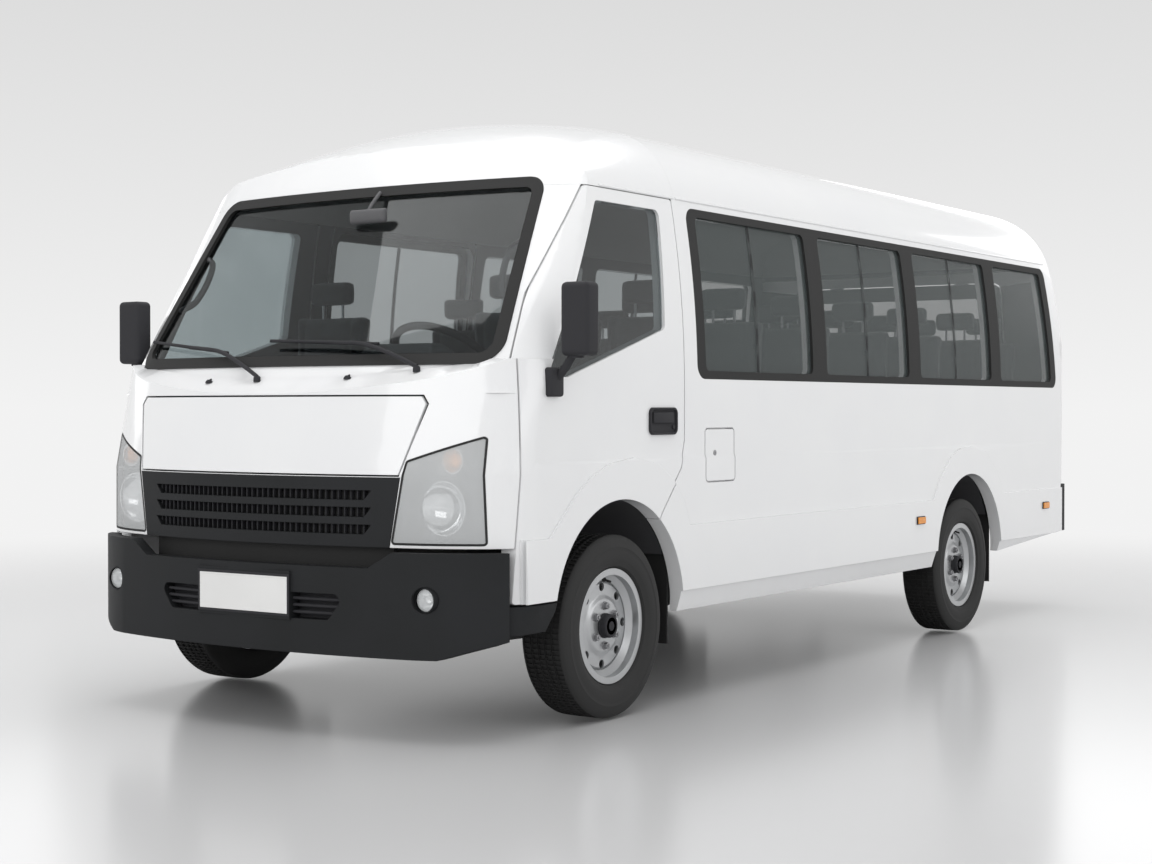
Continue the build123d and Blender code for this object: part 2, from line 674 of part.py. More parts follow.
# ---- roof ----
brow, level_roof = roof_form(0)
brow_room, level_room = roof_form(WALL)
roof_front = brow - brow_room - screen_hole
roof_rear = level_roof - level_room

# ---- body sides, tail and their doors ----
side_zone = box(0, OUT_X, FRONT_Y + FRONT_DOOR[2][0], TAIL_Y, SILL_Z - 1, GUTTER_Z)
rear_trim = side_prism(
    ((REAR_ARCH[0], 0), (REAR_ARCH[0], SILL_Z), (REAR_ARCH[0] + REAR_ARCH[2], 400), (BODY_TAIL_Y, 470),
     (BODY_TAIL_Y + 100, 470), (BODY_TAIL_Y + 100, 0)), -OUT_X, OUT_X)
room = tail_prism(TAIL_PANEL_DEPTH)
side_panel = largest((shell & side_zone & room) - door_hole - rear_trim)
rear_panel = (shell - room) - rear_trim


def windows(first, y_start):
    """Cuts for the window band: the frame's recess and the openings, then the frame and the panes."""
    recess = side_prism(band(y_start, BAND_Y[1], 0), IN_X, OUT_X, radius=BAND_R)
    outline = side_prism(band(y_start, BAND_Y[1], SEAT_GAP), IN_X, OUT_X, radius=BAND_R)
    frame_solid = (skin & outline)
    cuts = (skin & recess)
    panes = []
    for y0, y1 in BAYS[first:]:
        opening = side_prism(band(y0, y1, FRAME_WIDTH), IN_X, OUT_X, radius=BAND_R / 2)
        pane = side_prism(band(y0, y1, FRAME_WIDTH + SEAT_GAP), IN_X, OUT_X, radius=BAND_R / 2)
        frame_solid = frame_solid - opening
        cuts = joined([cuts, opening])
        panes.append(glass_layer & pane)
    return cuts, frame_solid, panes


band_cuts, band_frame, band_panes = windows(0, BAND_Y[0])
side_left = side_panel
for cut in solids_of(band_cuts):
    side_left = side_left - cut

# ---- fuel flap in its pocket ----
flap_hole = side_prism(FLAP, IN_X, OUT_X, radius=FLAP_R) - body_form(FLAP_DEPTH + SEAT_GAP, 0, GUTTER_Z)
flap_pocket = side_prism(grown(FLAP, -FLAP_LEDGE), IN_X, OUT_X, radius=FLAP_R - SHUT_GAP)
flap_pocket = flap_pocket - body_form(FLAP_POCKET, 0, GUTTER_Z)
flap_block = side_prism(grown(FLAP, -SHUT_GAP), IN_X, OUT_X, radius=FLAP_R - SHUT_GAP)
fuel_flap = (outer - body_form(FLAP_DEPTH, 0, GUTTER_Z)) & flap_block
side_left = side_left - flap_hole - flap_pocket

# ---- right side with the sliding door ----
slide_y0, slide_y1 = SLIDING_DOOR_Y
slide_corners = (
    (slide_y0, SLIDING_DOOR_LOW_Z), (slide_y0, GUTTER_Z), (slide_y1, GUTTER_Z), (slide_y1, SLIDING_DOOR_LOW_Z),
)
slide_hole = side_prism(grown(slide_corners, SHUT_GAP / 2), IN_X, OUT_X, radius=20)
slide_block = side_prism(grown(slide_corners, -SHUT_GAP / 2), IN_X, OUT_X, radius=20)
right_cuts, right_frame, right_panes = windows(1, BAYS[1][0] - FRAME_WIDTH)
side_right = side_panel - slide_hole
for cut in solids_of(right_cuts):
    side_right = side_right - cut
bay_y0, bay_y1 = BAYS[0]
slide_window = side_prism(band(bay_y0, bay_y1, 0), IN_X, OUT_X, radius=BAND_R)
slide_seal = side_prism(band(bay_y0, bay_y1, SEAT_GAP), IN_X, OUT_X, radius=BAND_R)
slide_opening = side_prism(band(bay_y0, bay_y1, FRAME_WIDTH), IN_X, OUT_X, radius=BAND_R / 2)
slide_pane = side_prism(band(bay_y0, bay_y1, FRAME_WIDTH + SEAT_GAP), IN_X, OUT_X, radius=BAND_R / 2)
sliding_door = (shell & slide_block) - slide_window
slide_frame = (skin & slide_seal) - slide_opening
slide_glass = glass_layer & slide_pane

# ---- tailgate ----
def hinge(length, radius, pin_r):
    """Knuckles on a pin along Z: two that stay, one that swings, and the room that each needs."""
    third = length / 3
    low, top = Pos(0, 0, -third), Pos(0, 0, third)
    fixed = Cylinder(pin_r, length) + low * Cylinder(radius, third) + top * Cylinder(radius, third)
    swinging = Cylinder(radius, third - 2 * LUG_GAP) - Cylinder(pin_r + BEARING_GAP, length)
    room = Cylinder(radius + SHUT_GAP, third + SHUT_GAP)
    return fixed, swinging, low * room + top * room, room


tailgate_hole = front_prism(grown(TAILGATE, SHUT_GAP / 2), BODY_TAIL_Y - 300, BODY_TAIL_Y + 100, radius=60)
tailgate_block = front_prism(grown(TAILGATE, -SHUT_GAP / 2), BODY_TAIL_Y - 300, BODY_TAIL_Y + 100, radius=60)
tail_window = front_prism(TAILGATE_WINDOW, BODY_TAIL_Y - 300, BODY_TAIL_Y + 100, radius=50)
tail_pane = front_prism(
    grown(TAILGATE_WINDOW, -SEAT_GAP), BODY_TAIL_Y - 300, BODY_TAIL_Y + 100, radius=50
)
tailgate = (rear_panel & tailgate_block) - tail_window
tailgate_glass = glass_layer & tail_pane & box(-OUT_X, OUT_X, TAIL_Y - 400, TAIL_Y, BELT_Z, GUTTER_Z)
rear_panel = rear_panel - tailgate_hole
for x in (-TAILGATE_HINGE_X, TAILGATE_HINGE_X):
    place = Pos(x, FRONT_Y + TAILGATE_HINGE_Y, TAILGATE[1][1]) * Rot(0, 90, 0)
    fixed, swinging, fixed_room, swinging_room = hinge(TAILGATE_HINGE_LENGTH, TAILGATE_HINGE_R, TAILGATE_PIN_R)
    rear_panel = (rear_panel - place * swinging_room) + place * fixed
    tailgate = (tailgate - place * fixed_room) + place * swinging

# ---- bumpers and the black sill pieces behind the front one ----
bumper_outer = raked_prism(BUMPER_Y, BUMPER_PLAN, 0, 0, GUTTER_Z, 0)
bumper_inner = raked_prism(BUMPER_Y, BUMPER_PLAN, BUMPER_WALL, -1, GUTTER_Z, 0)
bumper_face = front_prism(BUMPER_FACE, BUMPER_Y - 50, BUMPER_END_Y)
(intake_top_x, intake_top_z), (intake_low_x, intake_low_z) = INTAKE
intake = (
    (-intake_low_x, intake_low_z), (-intake_top_x, intake_top_z), (intake_top_x, intake_top_z),
    (intake_low_x, intake_low_z),
)
front_bumper = (bumper_outer - bumper_inner) & bumper_face
front_bumper = front_bumper & box(-HALF_WIDTH, HALF_WIDTH, -LENGTH, 0, 0, HEIGHT)
front_bumper = front_bumper - front_prism(intake, BUMPER_Y - 50, BUMPER_Y + 300, radius=25)

fog_y = FRONT_Y + BUMPER_Y
fog_pocket = cylinder_y(FOG_X, fog_y, fog_y + FOG_REACH, FOG_Z, FOG_R + SEAT_GAP)
front_bumper = front_bumper - fog_pocket - mirrored(fog_pocket)
fog_lamp = cylinder_y(FOG_X, fog_y, fog_y + FOG_REACH, FOG_Z, FOG_R)
fog_lamp = fog_lamp & (raked_prism(BUMPER_Y, BUMPER_PLAN, FOG_SET, 0, GUTTER_Z, 0) - bumper_inner)
sill_piece = (outer - inner) & side_prism(SILL_PIECE, IN_X, OUT_X)

rear_low_z, rear_top_z = REAR_BUMPER_Z
rear_cut = box(-OUT_X, OUT_X, FRONT_Y + REAR_BUMPER_Y - SEAT_GAP, TAIL_Y + 50, 0, rear_top_z + SHUT_GAP / 2)
side_left = side_left - rear_cut
side_right = side_right - rear_cut
rear_panel = rear_panel - rear_cut
rear_block = box(-HALF_WIDTH, HALF_WIDTH, FRONT_Y, TAIL_Y, rear_low_z, rear_top_z)
rear_block = fillet(rear_block.edges().filter_by(Axis.Z).group_by(Axis.Y)[-1], REAR_CORNER_R)
rear_room = box(
    REAR_BUMPER_DEPTH - HALF_WIDTH, HALF_WIDTH - REAR_BUMPER_DEPTH, FRONT_Y - 10, TAIL_Y - REAR_BUMPER_DEPTH,
    rear_low_z - 1, rear_top_z + 1,
)
rear_room = fillet(rear_room.edges().filter_by(Axis.Z).group_by(Axis.Y)[-1], REAR_CORNER_R - REAR_BUMPER_DEPTH)
rear_bumper = (rear_block - rear_room) & box(-OUT_X, OUT_X, FRONT_Y + REAR_BUMPER_Y, TAIL_Y, 0, HEIGHT)

# ---- lamps, markers and plates ----
rear_lamp_zone = front_prism(REAR_LAMP, BODY_TAIL_Y - TAIL_PANEL_DEPTH + 5, BODY_TAIL_Y + 50, radius=14)
rear_lamp_hole = rear_lamp_zone - body_form(REAR_LAMP_DEPTH, 0, GUTTER_Z)
rear_lamp_block = front_prism(
    grown(REAR_LAMP, -SEAT_GAP), BODY_TAIL_Y - TAIL_PANEL_DEPTH + 5 + SEAT_GAP, BODY_TAIL_Y + 50, radius=14
)
rear_lamp = (outer - body_form(REAR_LAMP_DEPTH - SEAT_GAP, 0, GUTTER_Z)) & rear_lamp_block
rear_panel = rear_panel - rear_lamp_hole - mirrored(rear_lamp_hole)
marker_length, marker_height, marker_depth = MARKER
marker_x = HALF_WIDTH + FLARE_PROUD
markers = []
for y in MARKERS_Y:
    marker = box(
        marker_x, marker_x + marker_depth, FRONT_Y + y - marker_length / 2, FRONT_Y + y + marker_length / 2,
        MARKER_Z - marker_height / 2, MARKER_Z + marker_height / 2,
    )
    marker = fillet(marker.edges().group_by(Axis.X)[-1], 4)
    markers += [marker, mirrored(marker)]
plate_width, plate_height = PLATE
plate_y = BUMPER_Y + FRONT_Y
plate_front = box(
    -plate_width / 2, plate_width / 2, plate_y - PLATE_THICKNESS, plate_y,
    PLATE_Z - plate_height / 2, PLATE_Z + plate_height / 2,
)
plate_pad = box(
    -plate_width / 2, plate_width / 2, plate_y, plate_y + BUMPER_WALL,
    PLATE_Z - plate_height / 2 - 12, PLATE_Z + plate_height / 2 + 12,
)
front_bumper = joined([front_bumper + plate_pad, sill_piece, mirrored(sill_piece)])

# ---- wipers ----
wipers = []
for (pivot_x, pivot_y), *bends in WIPERS:
    elbow, blade_start, blade_end = [(x, y + FRONT_Y, z) for x, y, z in bends]
    base_z = COWL_Z + COWL_SLOPE * (pivot_y + WIPER_PIVOT_R - COWL_Y) + SEAT_GAP
    pivot = (pivot_x, pivot_y + FRONT_Y, base_z + WIPER_PIVOT_R)
    middle = tuple((a + b) / 2 for a, b in zip(blade_start, blade_end))
    wiper = cylinder_z(pivot_x, pivot[1], base_z, pivot[2], WIPER_PIVOT_R)
    wiper = wiper + rod_between(pivot, elbow, WIPER_R) + rod_between(elbow, middle, WIPER_R - 2)
    wiper = wiper + Pos(*elbow) * Sphere(WIPER_R) + Pos(*pivot) * Sphere(WIPER_R + 2)
    wipers.append(wiper + rod_between(blade_start, blade_end, WIPER_R - 3))

# ---- mirrors ----
mirror_x0, mirror_x1 = MIRROR_X
mirror_z0, mirror_z1 = MIRROR_Z
mirror_y = FRONT_Y + MIRROR_Y
head = box(mirror_x0, mirror_x1, mirror_y - MIRROR_DEPTH, mirror_y, mirror_z0, mirror_z1)
head = fillet(head.edges(), 28)
arm_z = BELT_Z - 20
foot = box(HALF_WIDTH - 55, HALF_WIDTH + 22, mirror_y - 105, mirror_y - 20, arm_z - 60, arm_z + 50)
foot = foot - (outer + box(-HALF_WIDTH, HALF_WIDTH - 55, -LENGTH, LENGTH, 0, HEIGHT))
arm = rod_between((HALF_WIDTH, mirror_y - 55, arm_z), (mirror_x0 + 45, mirror_y - 40, mirror_z0 + 30), 17)
mirror_left = joined([head + (arm - outer) + foot])

# ---- mud flaps ----
flaps = []
flap_x0, flap_x1 = MUD_FLAP_X
for y, low_z in MUD_FLAPS:
    flap = box(flap_x0, flap_x1, FRONT_Y + y, FRONT_Y + y + 8, low_z, FLOOR_Z - FLOOR_THICKNESS)
    flaps += [flap, mirrored(flap)]

# ---- floor with wheel housings and the engine cover ----
floor_front = FRONT_Y + COWL_Y + 190
floor_back = FRONT_Y + BODY_TAIL_Y - TAIL_PANEL_DEPTH
floor = box(WALL - HALF_WIDTH, HALF_WIDTH - WALL, floor_front, floor_back, FLOOR_Z - FLOOR_THICKNESS, FLOOR_Z)
floor = floor & body_form(WALL, 0, GUTTER_Z)
house_x0, house_x1 = HOUSING_X
humps = []
for y, z, radius in (FRONT_ARCH, REAR_ARCH):
    for side in (-1, 1):
        x0, x1 = sorted((side * house_x0, side * house_x1))
        humps.append(cylinder_x(x0 - SEAT_GAP, x1 + SEAT_GAP, FRONT_Y + y, z, radius + HOUSING_GAP + SEAT_GAP))
        shell_out = cylinder_x(x0, x1, FRONT_Y + y, z, radius + HOUSING_GAP)
        wall_x = x0 if side > 0 else x1
        room_x = (x0 + HOUSING_WALL, x1 + 50) if side > 0 else (x0 - 50, x1 - HOUSING_WALL)
        shell_in = cylinder_x(*room_x, FRONT_Y + y, z, radius + HOUSING_GAP - HOUSING_WALL)
        upper = box(x0, x1, FRONT_Y + y - 600, FRONT_Y + y + 600, FLOOR_Z - FLOOR_THICKNESS - 120, HEIGHT)
        floor = (floor + (shell_out & upper)) - shell_in
floor = floor - rear_cut
door_clear = box(house_x1, HALF_WIDTH, floor_front - 200, FRONT_Y + 520, 0, HEIGHT)
floor = floor - door_clear - mirrored(door_clear)
swing_room = box(DOOR_SWING_X, HALF_WIDTH, floor_front - 200, FRONT_Y + DOOR_SWING_Y, 0, HEIGHT)
floor = floor - swing_room - mirrored(swing_room)
cover_x = ENGINE_X + COVER_GAP + COVER_WALL
cover = box(
    -cover_x, cover_x, FRONT_Y + ENGINE_Y[0] - COVER_GAP - COVER_WALL, FRONT_Y + ENGINE_Y[1] + COVER_GAP + COVER_WALL,
    FLOOR_Z - FLOOR_THICKNESS, ENGINE_Z[1] + COVER_GAP + COVER_WALL,
)
cover_room = box(
    COVER_WALL - cover_x, cover_x - COVER_WALL, FRONT_Y + ENGINE_Y[0] - COVER_GAP, FRONT_Y + ENGINE_Y[1] + COVER_GAP,
    0, ENGINE_Z[1] + COVER_GAP,
)
humps.append(cover)
floor = floor + cover - cover_room

# ---- chassis frame ----
frame_front = FRONT_Y + RAIL_FRONT_Y
frame_back = FRONT_Y + BODY_TAIL_Y - RAIL_END_GAP
rail = box(RAIL_X - RAIL_WIDTH, RAIL_X, frame_front, frame_back, RAIL_LOW_Z, RAIL_TOP_Z)
chassis_frame = rail + mirrored(rail)
for y, width in CROSSMEMBERS:
    chassis_frame = chassis_frame + box(
        RAIL_WIDTH - RAIL_X, RAIL_X - RAIL_WIDTH, FRONT_Y + y, FRONT_Y + y + width,
        RAIL_TOP_Z - CROSSMEMBER_HEIGHT, RAIL_TOP_Z)
outrigger_x = HALF_WIDTH - WALL - OUTRIGGER_END_GAP
for y in OUTRIGGERS:
    chassis_frame = chassis_frame + box(
        -outrigger_x, outrigger_x, FRONT_Y + y, FRONT_Y + y + OUTRIGGER_WIDTH,
        RAIL_TOP_Z, FLOOR_Z - FLOOR_THICKNESS)
chassis_frame = chassis_frame - box(
    -cover_x, cover_x, FRONT_Y + ENGINE_Y[0], FRONT_Y + ENGINE_Y[1] + 60, RAIL_TOP_Z, HEIGHT)
bumper_arm = box(
    RAIL_X - RAIL_WIDTH, RAIL_X, FRONT_Y + BUMPER_Y, frame_front, RAIL_LOW_Z, RAIL_LOW_Z + BUMPER_ARM_HEIGHT)
bumper_arm = bumper_arm & raked_prism(BUMPER_Y, BUMPER_PLAN, BUMPER_WALL + SEAT_GAP, 0, GUTTER_Z, 0)
chassis_frame = chassis_frame + bumper_arm + mirrored(bumper_arm)

eye_x = RAIL_X - RAIL_WIDTH / 2
eye_y = frame_back - TOW_EYE_R
tow_eye = cylinder_x(eye_x, eye_x + TOW_EYE_THICKNESS, eye_y, TOW_EYE_Z, TOW_EYE_R)
tow_eye = tow_eye + box(
    eye_x, eye_x + TOW_EYE_THICKNESS, eye_y - TOW_EYE_R, frame_back, TOW_EYE_Z, RAIL_LOW_Z)
tow_bore = cylinder_x(eye_x - 1, eye_x + TOW_EYE_THICKNESS + 1, eye_y, TOW_EYE_Z, TOW_EYE_BORE_R)
chassis_frame = chassis_frame + (tow_eye - tow_bore)

# ---- engine block with its gearbox, propeller shaft, tank and exhaust ----
engine = box(-ENGINE_X, ENGINE_X, FRONT_Y + ENGINE_Y[0], FRONT_Y + ENGINE_Y[1], *ENGINE_Z)
gearbox_y = FRONT_Y + ENGINE_Y[1]
engine = engine + box(-GEARBOX_X, GEARBOX_X, gearbox_y, gearbox_y + GEARBOX_LENGTH, *GEARBOX_Z)
gearbox_back = gearbox_y + GEARBOX_LENGTH
casing_front = REAR_Y - CASING_LENGTH / 2
shaft = rod_between((0, gearbox_back, sum(GEARBOX_Z) / 2), (0, REAR_Y, TYRE_R), SHAFT_R)
drive_shaft = shaft & box(
    -RAIL_X, RAIL_X, gearbox_back + 2 * SHAFT_R / 3, casing_front - SEAT_GAP, 0, RAIL_TOP_Z)
drive_shaft = drive_shaft + cylinder_y(
    0, gearbox_back + SEAT_GAP, gearbox_back + SHAFT_R, sum(GEARBOX_Z) / 2, 1.3 * SHAFT_R)
tank = box(*TANK_X, FRONT_Y + TANK_Y[0], FRONT_Y + TANK_Y[1], *TANK_Z)
fuel_tank = fillet(tank.edges().filter_by(Axis.Y), TANK_R)
pipe_points = [(x, y + FRONT_Y, z) for x, y, z in EXHAUST]
pipe_path = FilletPolyline(*pipe_points, radius=PIPE_R * 3)
pipe = sweep(Plane(origin=pipe_path @ 0, z_dir=pipe_path % 0) * Circle(PIPE_R), pipe_path)
muffler_y = FRONT_Y + MUFFLER_Y + MUFFLER_LENGTH
muffler = cylinder_y(pipe_points[1][0], muffler_y - MUFFLER_LENGTH, muffler_y, pipe_points[1][2], MUFFLER_R)
exhaust = (pipe + fillet(muffler.edges(), 20)) - engine

# ---- axles, springs ----
def spring_pack(y, seat_z, half_length):
    """One leaf spring: a bow that hangs from the frame and rests on its axle."""
    end_z = RAIL_LOW_Z - SPRING_THICKNESS
    low = [(y - half_length, end_z), (y, seat_z), (y + half_length, end_z)]
    top = [(py, pz + SPRING_THICKNESS) for py, pz in low]
    face = make_face(Plane.YZ.offset(SPRING_X - SPRING_WIDTH / 2) * (Curve() + [
        ThreePointArc(*low), Line(low[2], top[2]), ThreePointArc(*top), Line(top[0], low[0])]))
    return Solid.extrude(face.face(), Vector(SPRING_WIDTH, 0, 0))


beam_low, beam_top = BEAM_Z
beam = box(-SPRING_X - 110, SPRING_X + 110, FRONT_Y - BEAM_HALF, FRONT_Y + BEAM_HALF, beam_low, beam_top)
eye = cylinder_z(KINGPIN_X, FRONT_Y, TYRE_R - EYE_HALF, TYRE_R + EYE_HALF, EYE_R)
neck_x = SPRING_X + 100
neck_half = EYE_HALF - NECK_SLACK
neck_corners = (
    (neck_x, beam_low), (neck_x, beam_top), (KINGPIN_X, TYRE_R + neck_half), (KINGPIN_X, TYRE_R - neck_half),
)
neck = front_prism(neck_corners, NECK_SLACK - BEAM_HALF, BEAM_HALF - NECK_SLACK)
beam = beam + neck + eye + mirrored(neck) + mirrored(eye)
kingpin_bore = cylinder_z(KINGPIN_X, FRONT_Y, 0, 1000, KINGPIN_R)
front_axle = beam - kingpin_bore - mirrored(kingpin_bore)
casing = cylinder_y(0, casing_front, casing_front + CASING_LENGTH, TYRE_R, CASING_R)
casing = fillet(casing.edges(), CASING_EDGE_R)
rear_axle = casing + cylinder_x(-KINGPIN_X, KINGPIN_X, REAR_Y, TYRE_R, AXLE_TUBE_R)
springs = []
front_spring = spring_pack(FRONT_Y, beam_top, SPRING_HALF_LENGTH)
rear_spring = spring_pack(REAR_Y, TYRE_R + AXLE_TUBE_R, SPRING_HALF_LENGTH)
for spring in (front_spring, rear_spring):
    springs += [spring, mirrored(spring)]

# ---- steering knuckles and tie rod ----
lug_in = EYE_HALF + LUG_GAP
lug_out = lug_in + LUG_THICKNESS
plate_x0, plate_x1 = KNUCKLE_PLATE_X
knuckle = cylinder_z(KINGPIN_X, FRONT_Y, TYRE_R - lug_out, TYRE_R + lug_out, KINGPIN_R - BEARING_GAP)
for z0 in (TYRE_R - lug_out, TYRE_R + lug_in):
    knuckle = knuckle + cylinder_z(KINGPIN_X, FRONT_Y, z0, z0 + LUG_THICKNESS, LUG_R)
    knuckle = knuckle + box(KINGPIN_X, plate_x1, FRONT_Y - LUG_R, FRONT_Y + LUG_R, z0, z0 + LUG_THICKNESS)
knuckle = knuckle + box(plate_x0, plate_x1, FRONT_Y - LUG_R, FRONT_Y + LUG_R, TYRE_R - lug_out, TYRE_R + lug_out)
knuckle = knuckle + cylinder_x(*BACKING_X, FRONT_Y, TYRE_R, DRUM_R - DRUM_WALL - SHUT_GAP)
spindle_end = TRACK_HALF + SPINDLE_END_X
knuckle = knuckle + cylinder_x(plate_x1, spindle_end, FRONT_Y, TYRE_R, SPINDLE_R)
arm_low = TYRE_R - lug_out
arm_top = arm_low + ARM_THICKNESS
arm_in = KINGPIN_X - ARM_HALF_WIDTH
arm_out = KINGPIN_X + ARM_HALF_WIDTH
knuckle = knuckle + box(arm_in, arm_out, FRONT_Y + KINGPIN_R, FRONT_Y + TIE_ROD_Y, arm_low, arm_top)
knuckle = knuckle + cylinder_z(KINGPIN_X, FRONT_Y + TIE_ROD_Y, arm_low, arm_top, ARM_HALF_WIDTH)
rod_z1 = arm_low - SEAT_GAP
rod_z0 = rod_z1 - ROD_EYE_HEIGHT
knuckle_arm = knuckle + cylinder_z(KINGPIN_X, FRONT_Y + TIE_ROD_Y, rod_z0, arm_low, BALL_PIN_R)
knuckle_left = knuckle_arm
knuckle_right = mirrored(knuckle_arm)
rod = cylinder_x(-KINGPIN_X, KINGPIN_X, FRONT_Y + TIE_ROD_Y, (rod_z0 + rod_z1) / 2, ROD_R)
for x in (-KINGPIN_X, KINGPIN_X):
    rod = rod + cylinder_z(x, FRONT_Y + TIE_ROD_Y, rod_z0, rod_z1, ROD_EYE_R)
rod = rod - cylinder_z(KINGPIN_X, FRONT_Y + TIE_ROD_Y, rod_z0 - 1, rod_z1 + 1, BALL_PIN_R + BEARING_GAP)
tie_rod = rod - cylinder_z(-KINGPIN_X, FRONT_Y + TIE_ROD_Y, rod_z0 - 1, rod_z1 + 1, BALL_PIN_R + OPEN_PIN_GAP)

rear_hub = cylinder_x(KINGPIN_X, spindle_end, REAR_Y, TYRE_R, SPINDLE_R)
rear_plate = cylinder_x(*BACKING_X, REAR_Y, TYRE_R, DRUM_R - DRUM_WALL - SHUT_GAP)
rear_axle = rear_axle + rear_hub + rear_plate + mirrored(rear_hub) + mirrored(rear_plate)


# ---- wheels: profiles in x from the tyre's middle, outwards, and in radius ----
def turned(points):
    """A profile in x and radius turned about X."""
    return revolve(make_face(Plane.XZ * Polyline(*points, close=True)), axis=Axis.X)


def wheel_solid():
    """Rim, disc with its hand holes, hub with its cap, and brake drum."""
    edge = RIM_HALF_WIDTH
    lip = edge - RIM_WALL
    well = RIM_R - 24
    rim = turned((
        (-edge, RIM_FLANGE_R), (-lip, RIM_FLANGE_R), (-lip, RIM_R), (-40, RIM_R), (-24, well), (32, well),
        (50, RIM_R), (lip, RIM_R), (lip, RIM_FLANGE_R), (edge, RIM_FLANGE_R), (edge, RIM_R - RIM_WALL),
        (54, RIM_R - RIM_WALL), (36, well - RIM_WALL), (-28, well - RIM_WALL), (-44, RIM_R - RIM_WALL),
        (-edge, RIM_R - RIM_WALL),
    ))
    disc = turned((
        (HUB_FACE_X - 9, 0), (HUB_FACE_X, 0), (HUB_FACE_X, 96), (38, 120), (38, 160), (22, well - 3), (12, well - 3),
        (29, 158), (29, 118), (HUB_FACE_X - 9, 92),
    ))
    wheel = rim + disc
    for index in range(HAND_HOLES):
        hole = Pos(30, 0, HAND_HOLE_PCR) * Rot(0, 90, 0) * Cylinder(HAND_HOLE_R, 60)
        wheel = wheel - Rot(360 / HAND_HOLES * index, 0, 0) * hole
    drum = turned((
        (DRUM_BACK_X, DRUM_R - DRUM_WALL), (DRUM_BACK_X, DRUM_R), (10, DRUM_R), (10, 80), (HUB_FACE_X - 9, 60),
        (HUB_FACE_X - 9, 0), (DRUM_BACK_X + 10, 0), (DRUM_BACK_X + 10, HUB_R), (-2, HUB_R), (-2, DRUM_R - DRUM_WALL),
    ))
    cap = cylinder_x(HUB_FACE_X, HUB_CAP_X, 0, 0, HUB_CAP_R)
    cap = fillet(cap.edges().group_by(Axis.X)[-1], 8)
    return (wheel + drum + cap) - cylinder_x(-200, HUB_FACE_X, 0, 0, SPINDLE_R + BEARING_GAP)


def tyre_solid():
    """The tyre, its bead seated on the rim and its inside filled."""
    bead = RIM_HALF_WIDTH - RIM_WALL - SEAT_GAP
    seat = RIM_R + SEAT_GAP
    lip = RIM_FLANGE_R + SEAT_GAP
    shoulder = TYRE_R - 12
    bulge_r = (RIM_FLANGE_R + TYRE_R) / 2
    half = [
        Line((bead, seat), (bead, lip)),
        Line((bead, lip), (RIM_HALF_WIDTH, lip + 4)),
        ThreePointArc((RIM_HALF_WIDTH, lip + 4), (TYRE_HALF_WIDTH, bulge_r), (TREAD_HALF_WIDTH + 6, shoulder)),
        ThreePointArc((TREAD_HALF_WIDTH + 6, shoulder), (TREAD_HALF_WIDTH + 2, TYRE_R - 5), (TREAD_HALF_WIDTH - 8, TYRE_R - 2)),
    ]
    other = [mirror(edge, about=Plane.YZ) for edge in half]
    tread = ThreePointArc((8 - TREAD_HALF_WIDTH, TYRE_R - 2), (0, TYRE_R), (TREAD_HALF_WIDTH - 8, TYRE_R - 2))
    bore = Line((-bead, seat), (bead, seat))
    face = make_face(Plane.XZ * (Curve() + [tread, bore] + half + other))
    return revolve(face, axis=Axis.X)


WHEELS = (
    ("front_left", 1, FRONT_Y), ("front_right", -1, FRONT_Y), ("rear_left", 1, REAR_Y), ("rear_right", -1, REAR_Y),
)
wheel_form = wheel_solid()
tyre_form = tyre_solid()

# ---- inside: dashboard, steering wheel, seats ----
dash_x = HALF_WIDTH - WALL - 60
dashboard = side_prism(DASH, -dash_x, dash_x, radius=25) & body_form(WALL + SHUT_GAP, 0, GUTTER_Z)
centre = (WHEEL_CENTRE[0], WHEEL_CENTRE[1] + FRONT_Y, WHEEL_CENTRE[2])
foot = (COLUMN_FOOT[0], COLUMN_FOOT[1] + FRONT_Y, COLUMN_FOOT[2])
column_plane = Plane(origin=centre, z_dir=Vector(*centre) - Vector(*foot), x_dir=(1, 0, 0))
steering_wheel = column_plane * Torus(WHEEL_RADIUS, WHEEL_RIM_R)
steering_wheel = steering_wheel + column_plane * Pos(0, 0, -20) * Cylinder(52, 50)
steering_wheel = steering_wheel + column_plane * Pos(0, 0, -8) * Box(2 * WHEEL_RADIUS, 36, 14)
column = column_plane * Pos(0, 0, -130) * Cylinder(34, 200)
steering_wheel = steering_wheel + (column - dashboard)


def seat_bench(x, y, places):
    """Cushion, back and pedestal of one bench whose back's front face is at y."""
    width = places * SEAT_WIDTH
    cushion = box(
        x - width / 2, x + width / 2, y - SEAT_LENGTH, y, CUSHION_TOP_Z - CUSHION_THICKNESS, CUSHION_TOP_Z)
    back = box(
        x - width / 2, x + width / 2, y + SEAT_GAP, y + BACK_THICKNESS, CUSHION_TOP_Z - CUSHION_THICKNESS, BACK_TOP_Z)
    back = fillet(back.edges().filter_by(Axis.Y).group_by(Axis.Z)[-1], 60)
    cushion = fillet(cushion.edges().group_by(Axis.Z)[-1], 20)
    pan = box(
        x - width / 2 + 30, x + width / 2 - 30, y - SEAT_LENGTH + 30, y + BACK_THICKNESS - 20,
        CUSHION_TOP_Z - CUSHION_THICKNESS - 30, CUSHION_TOP_Z - CUSHION_THICKNESS - SEAT_GAP)
    return cushion, back, pan


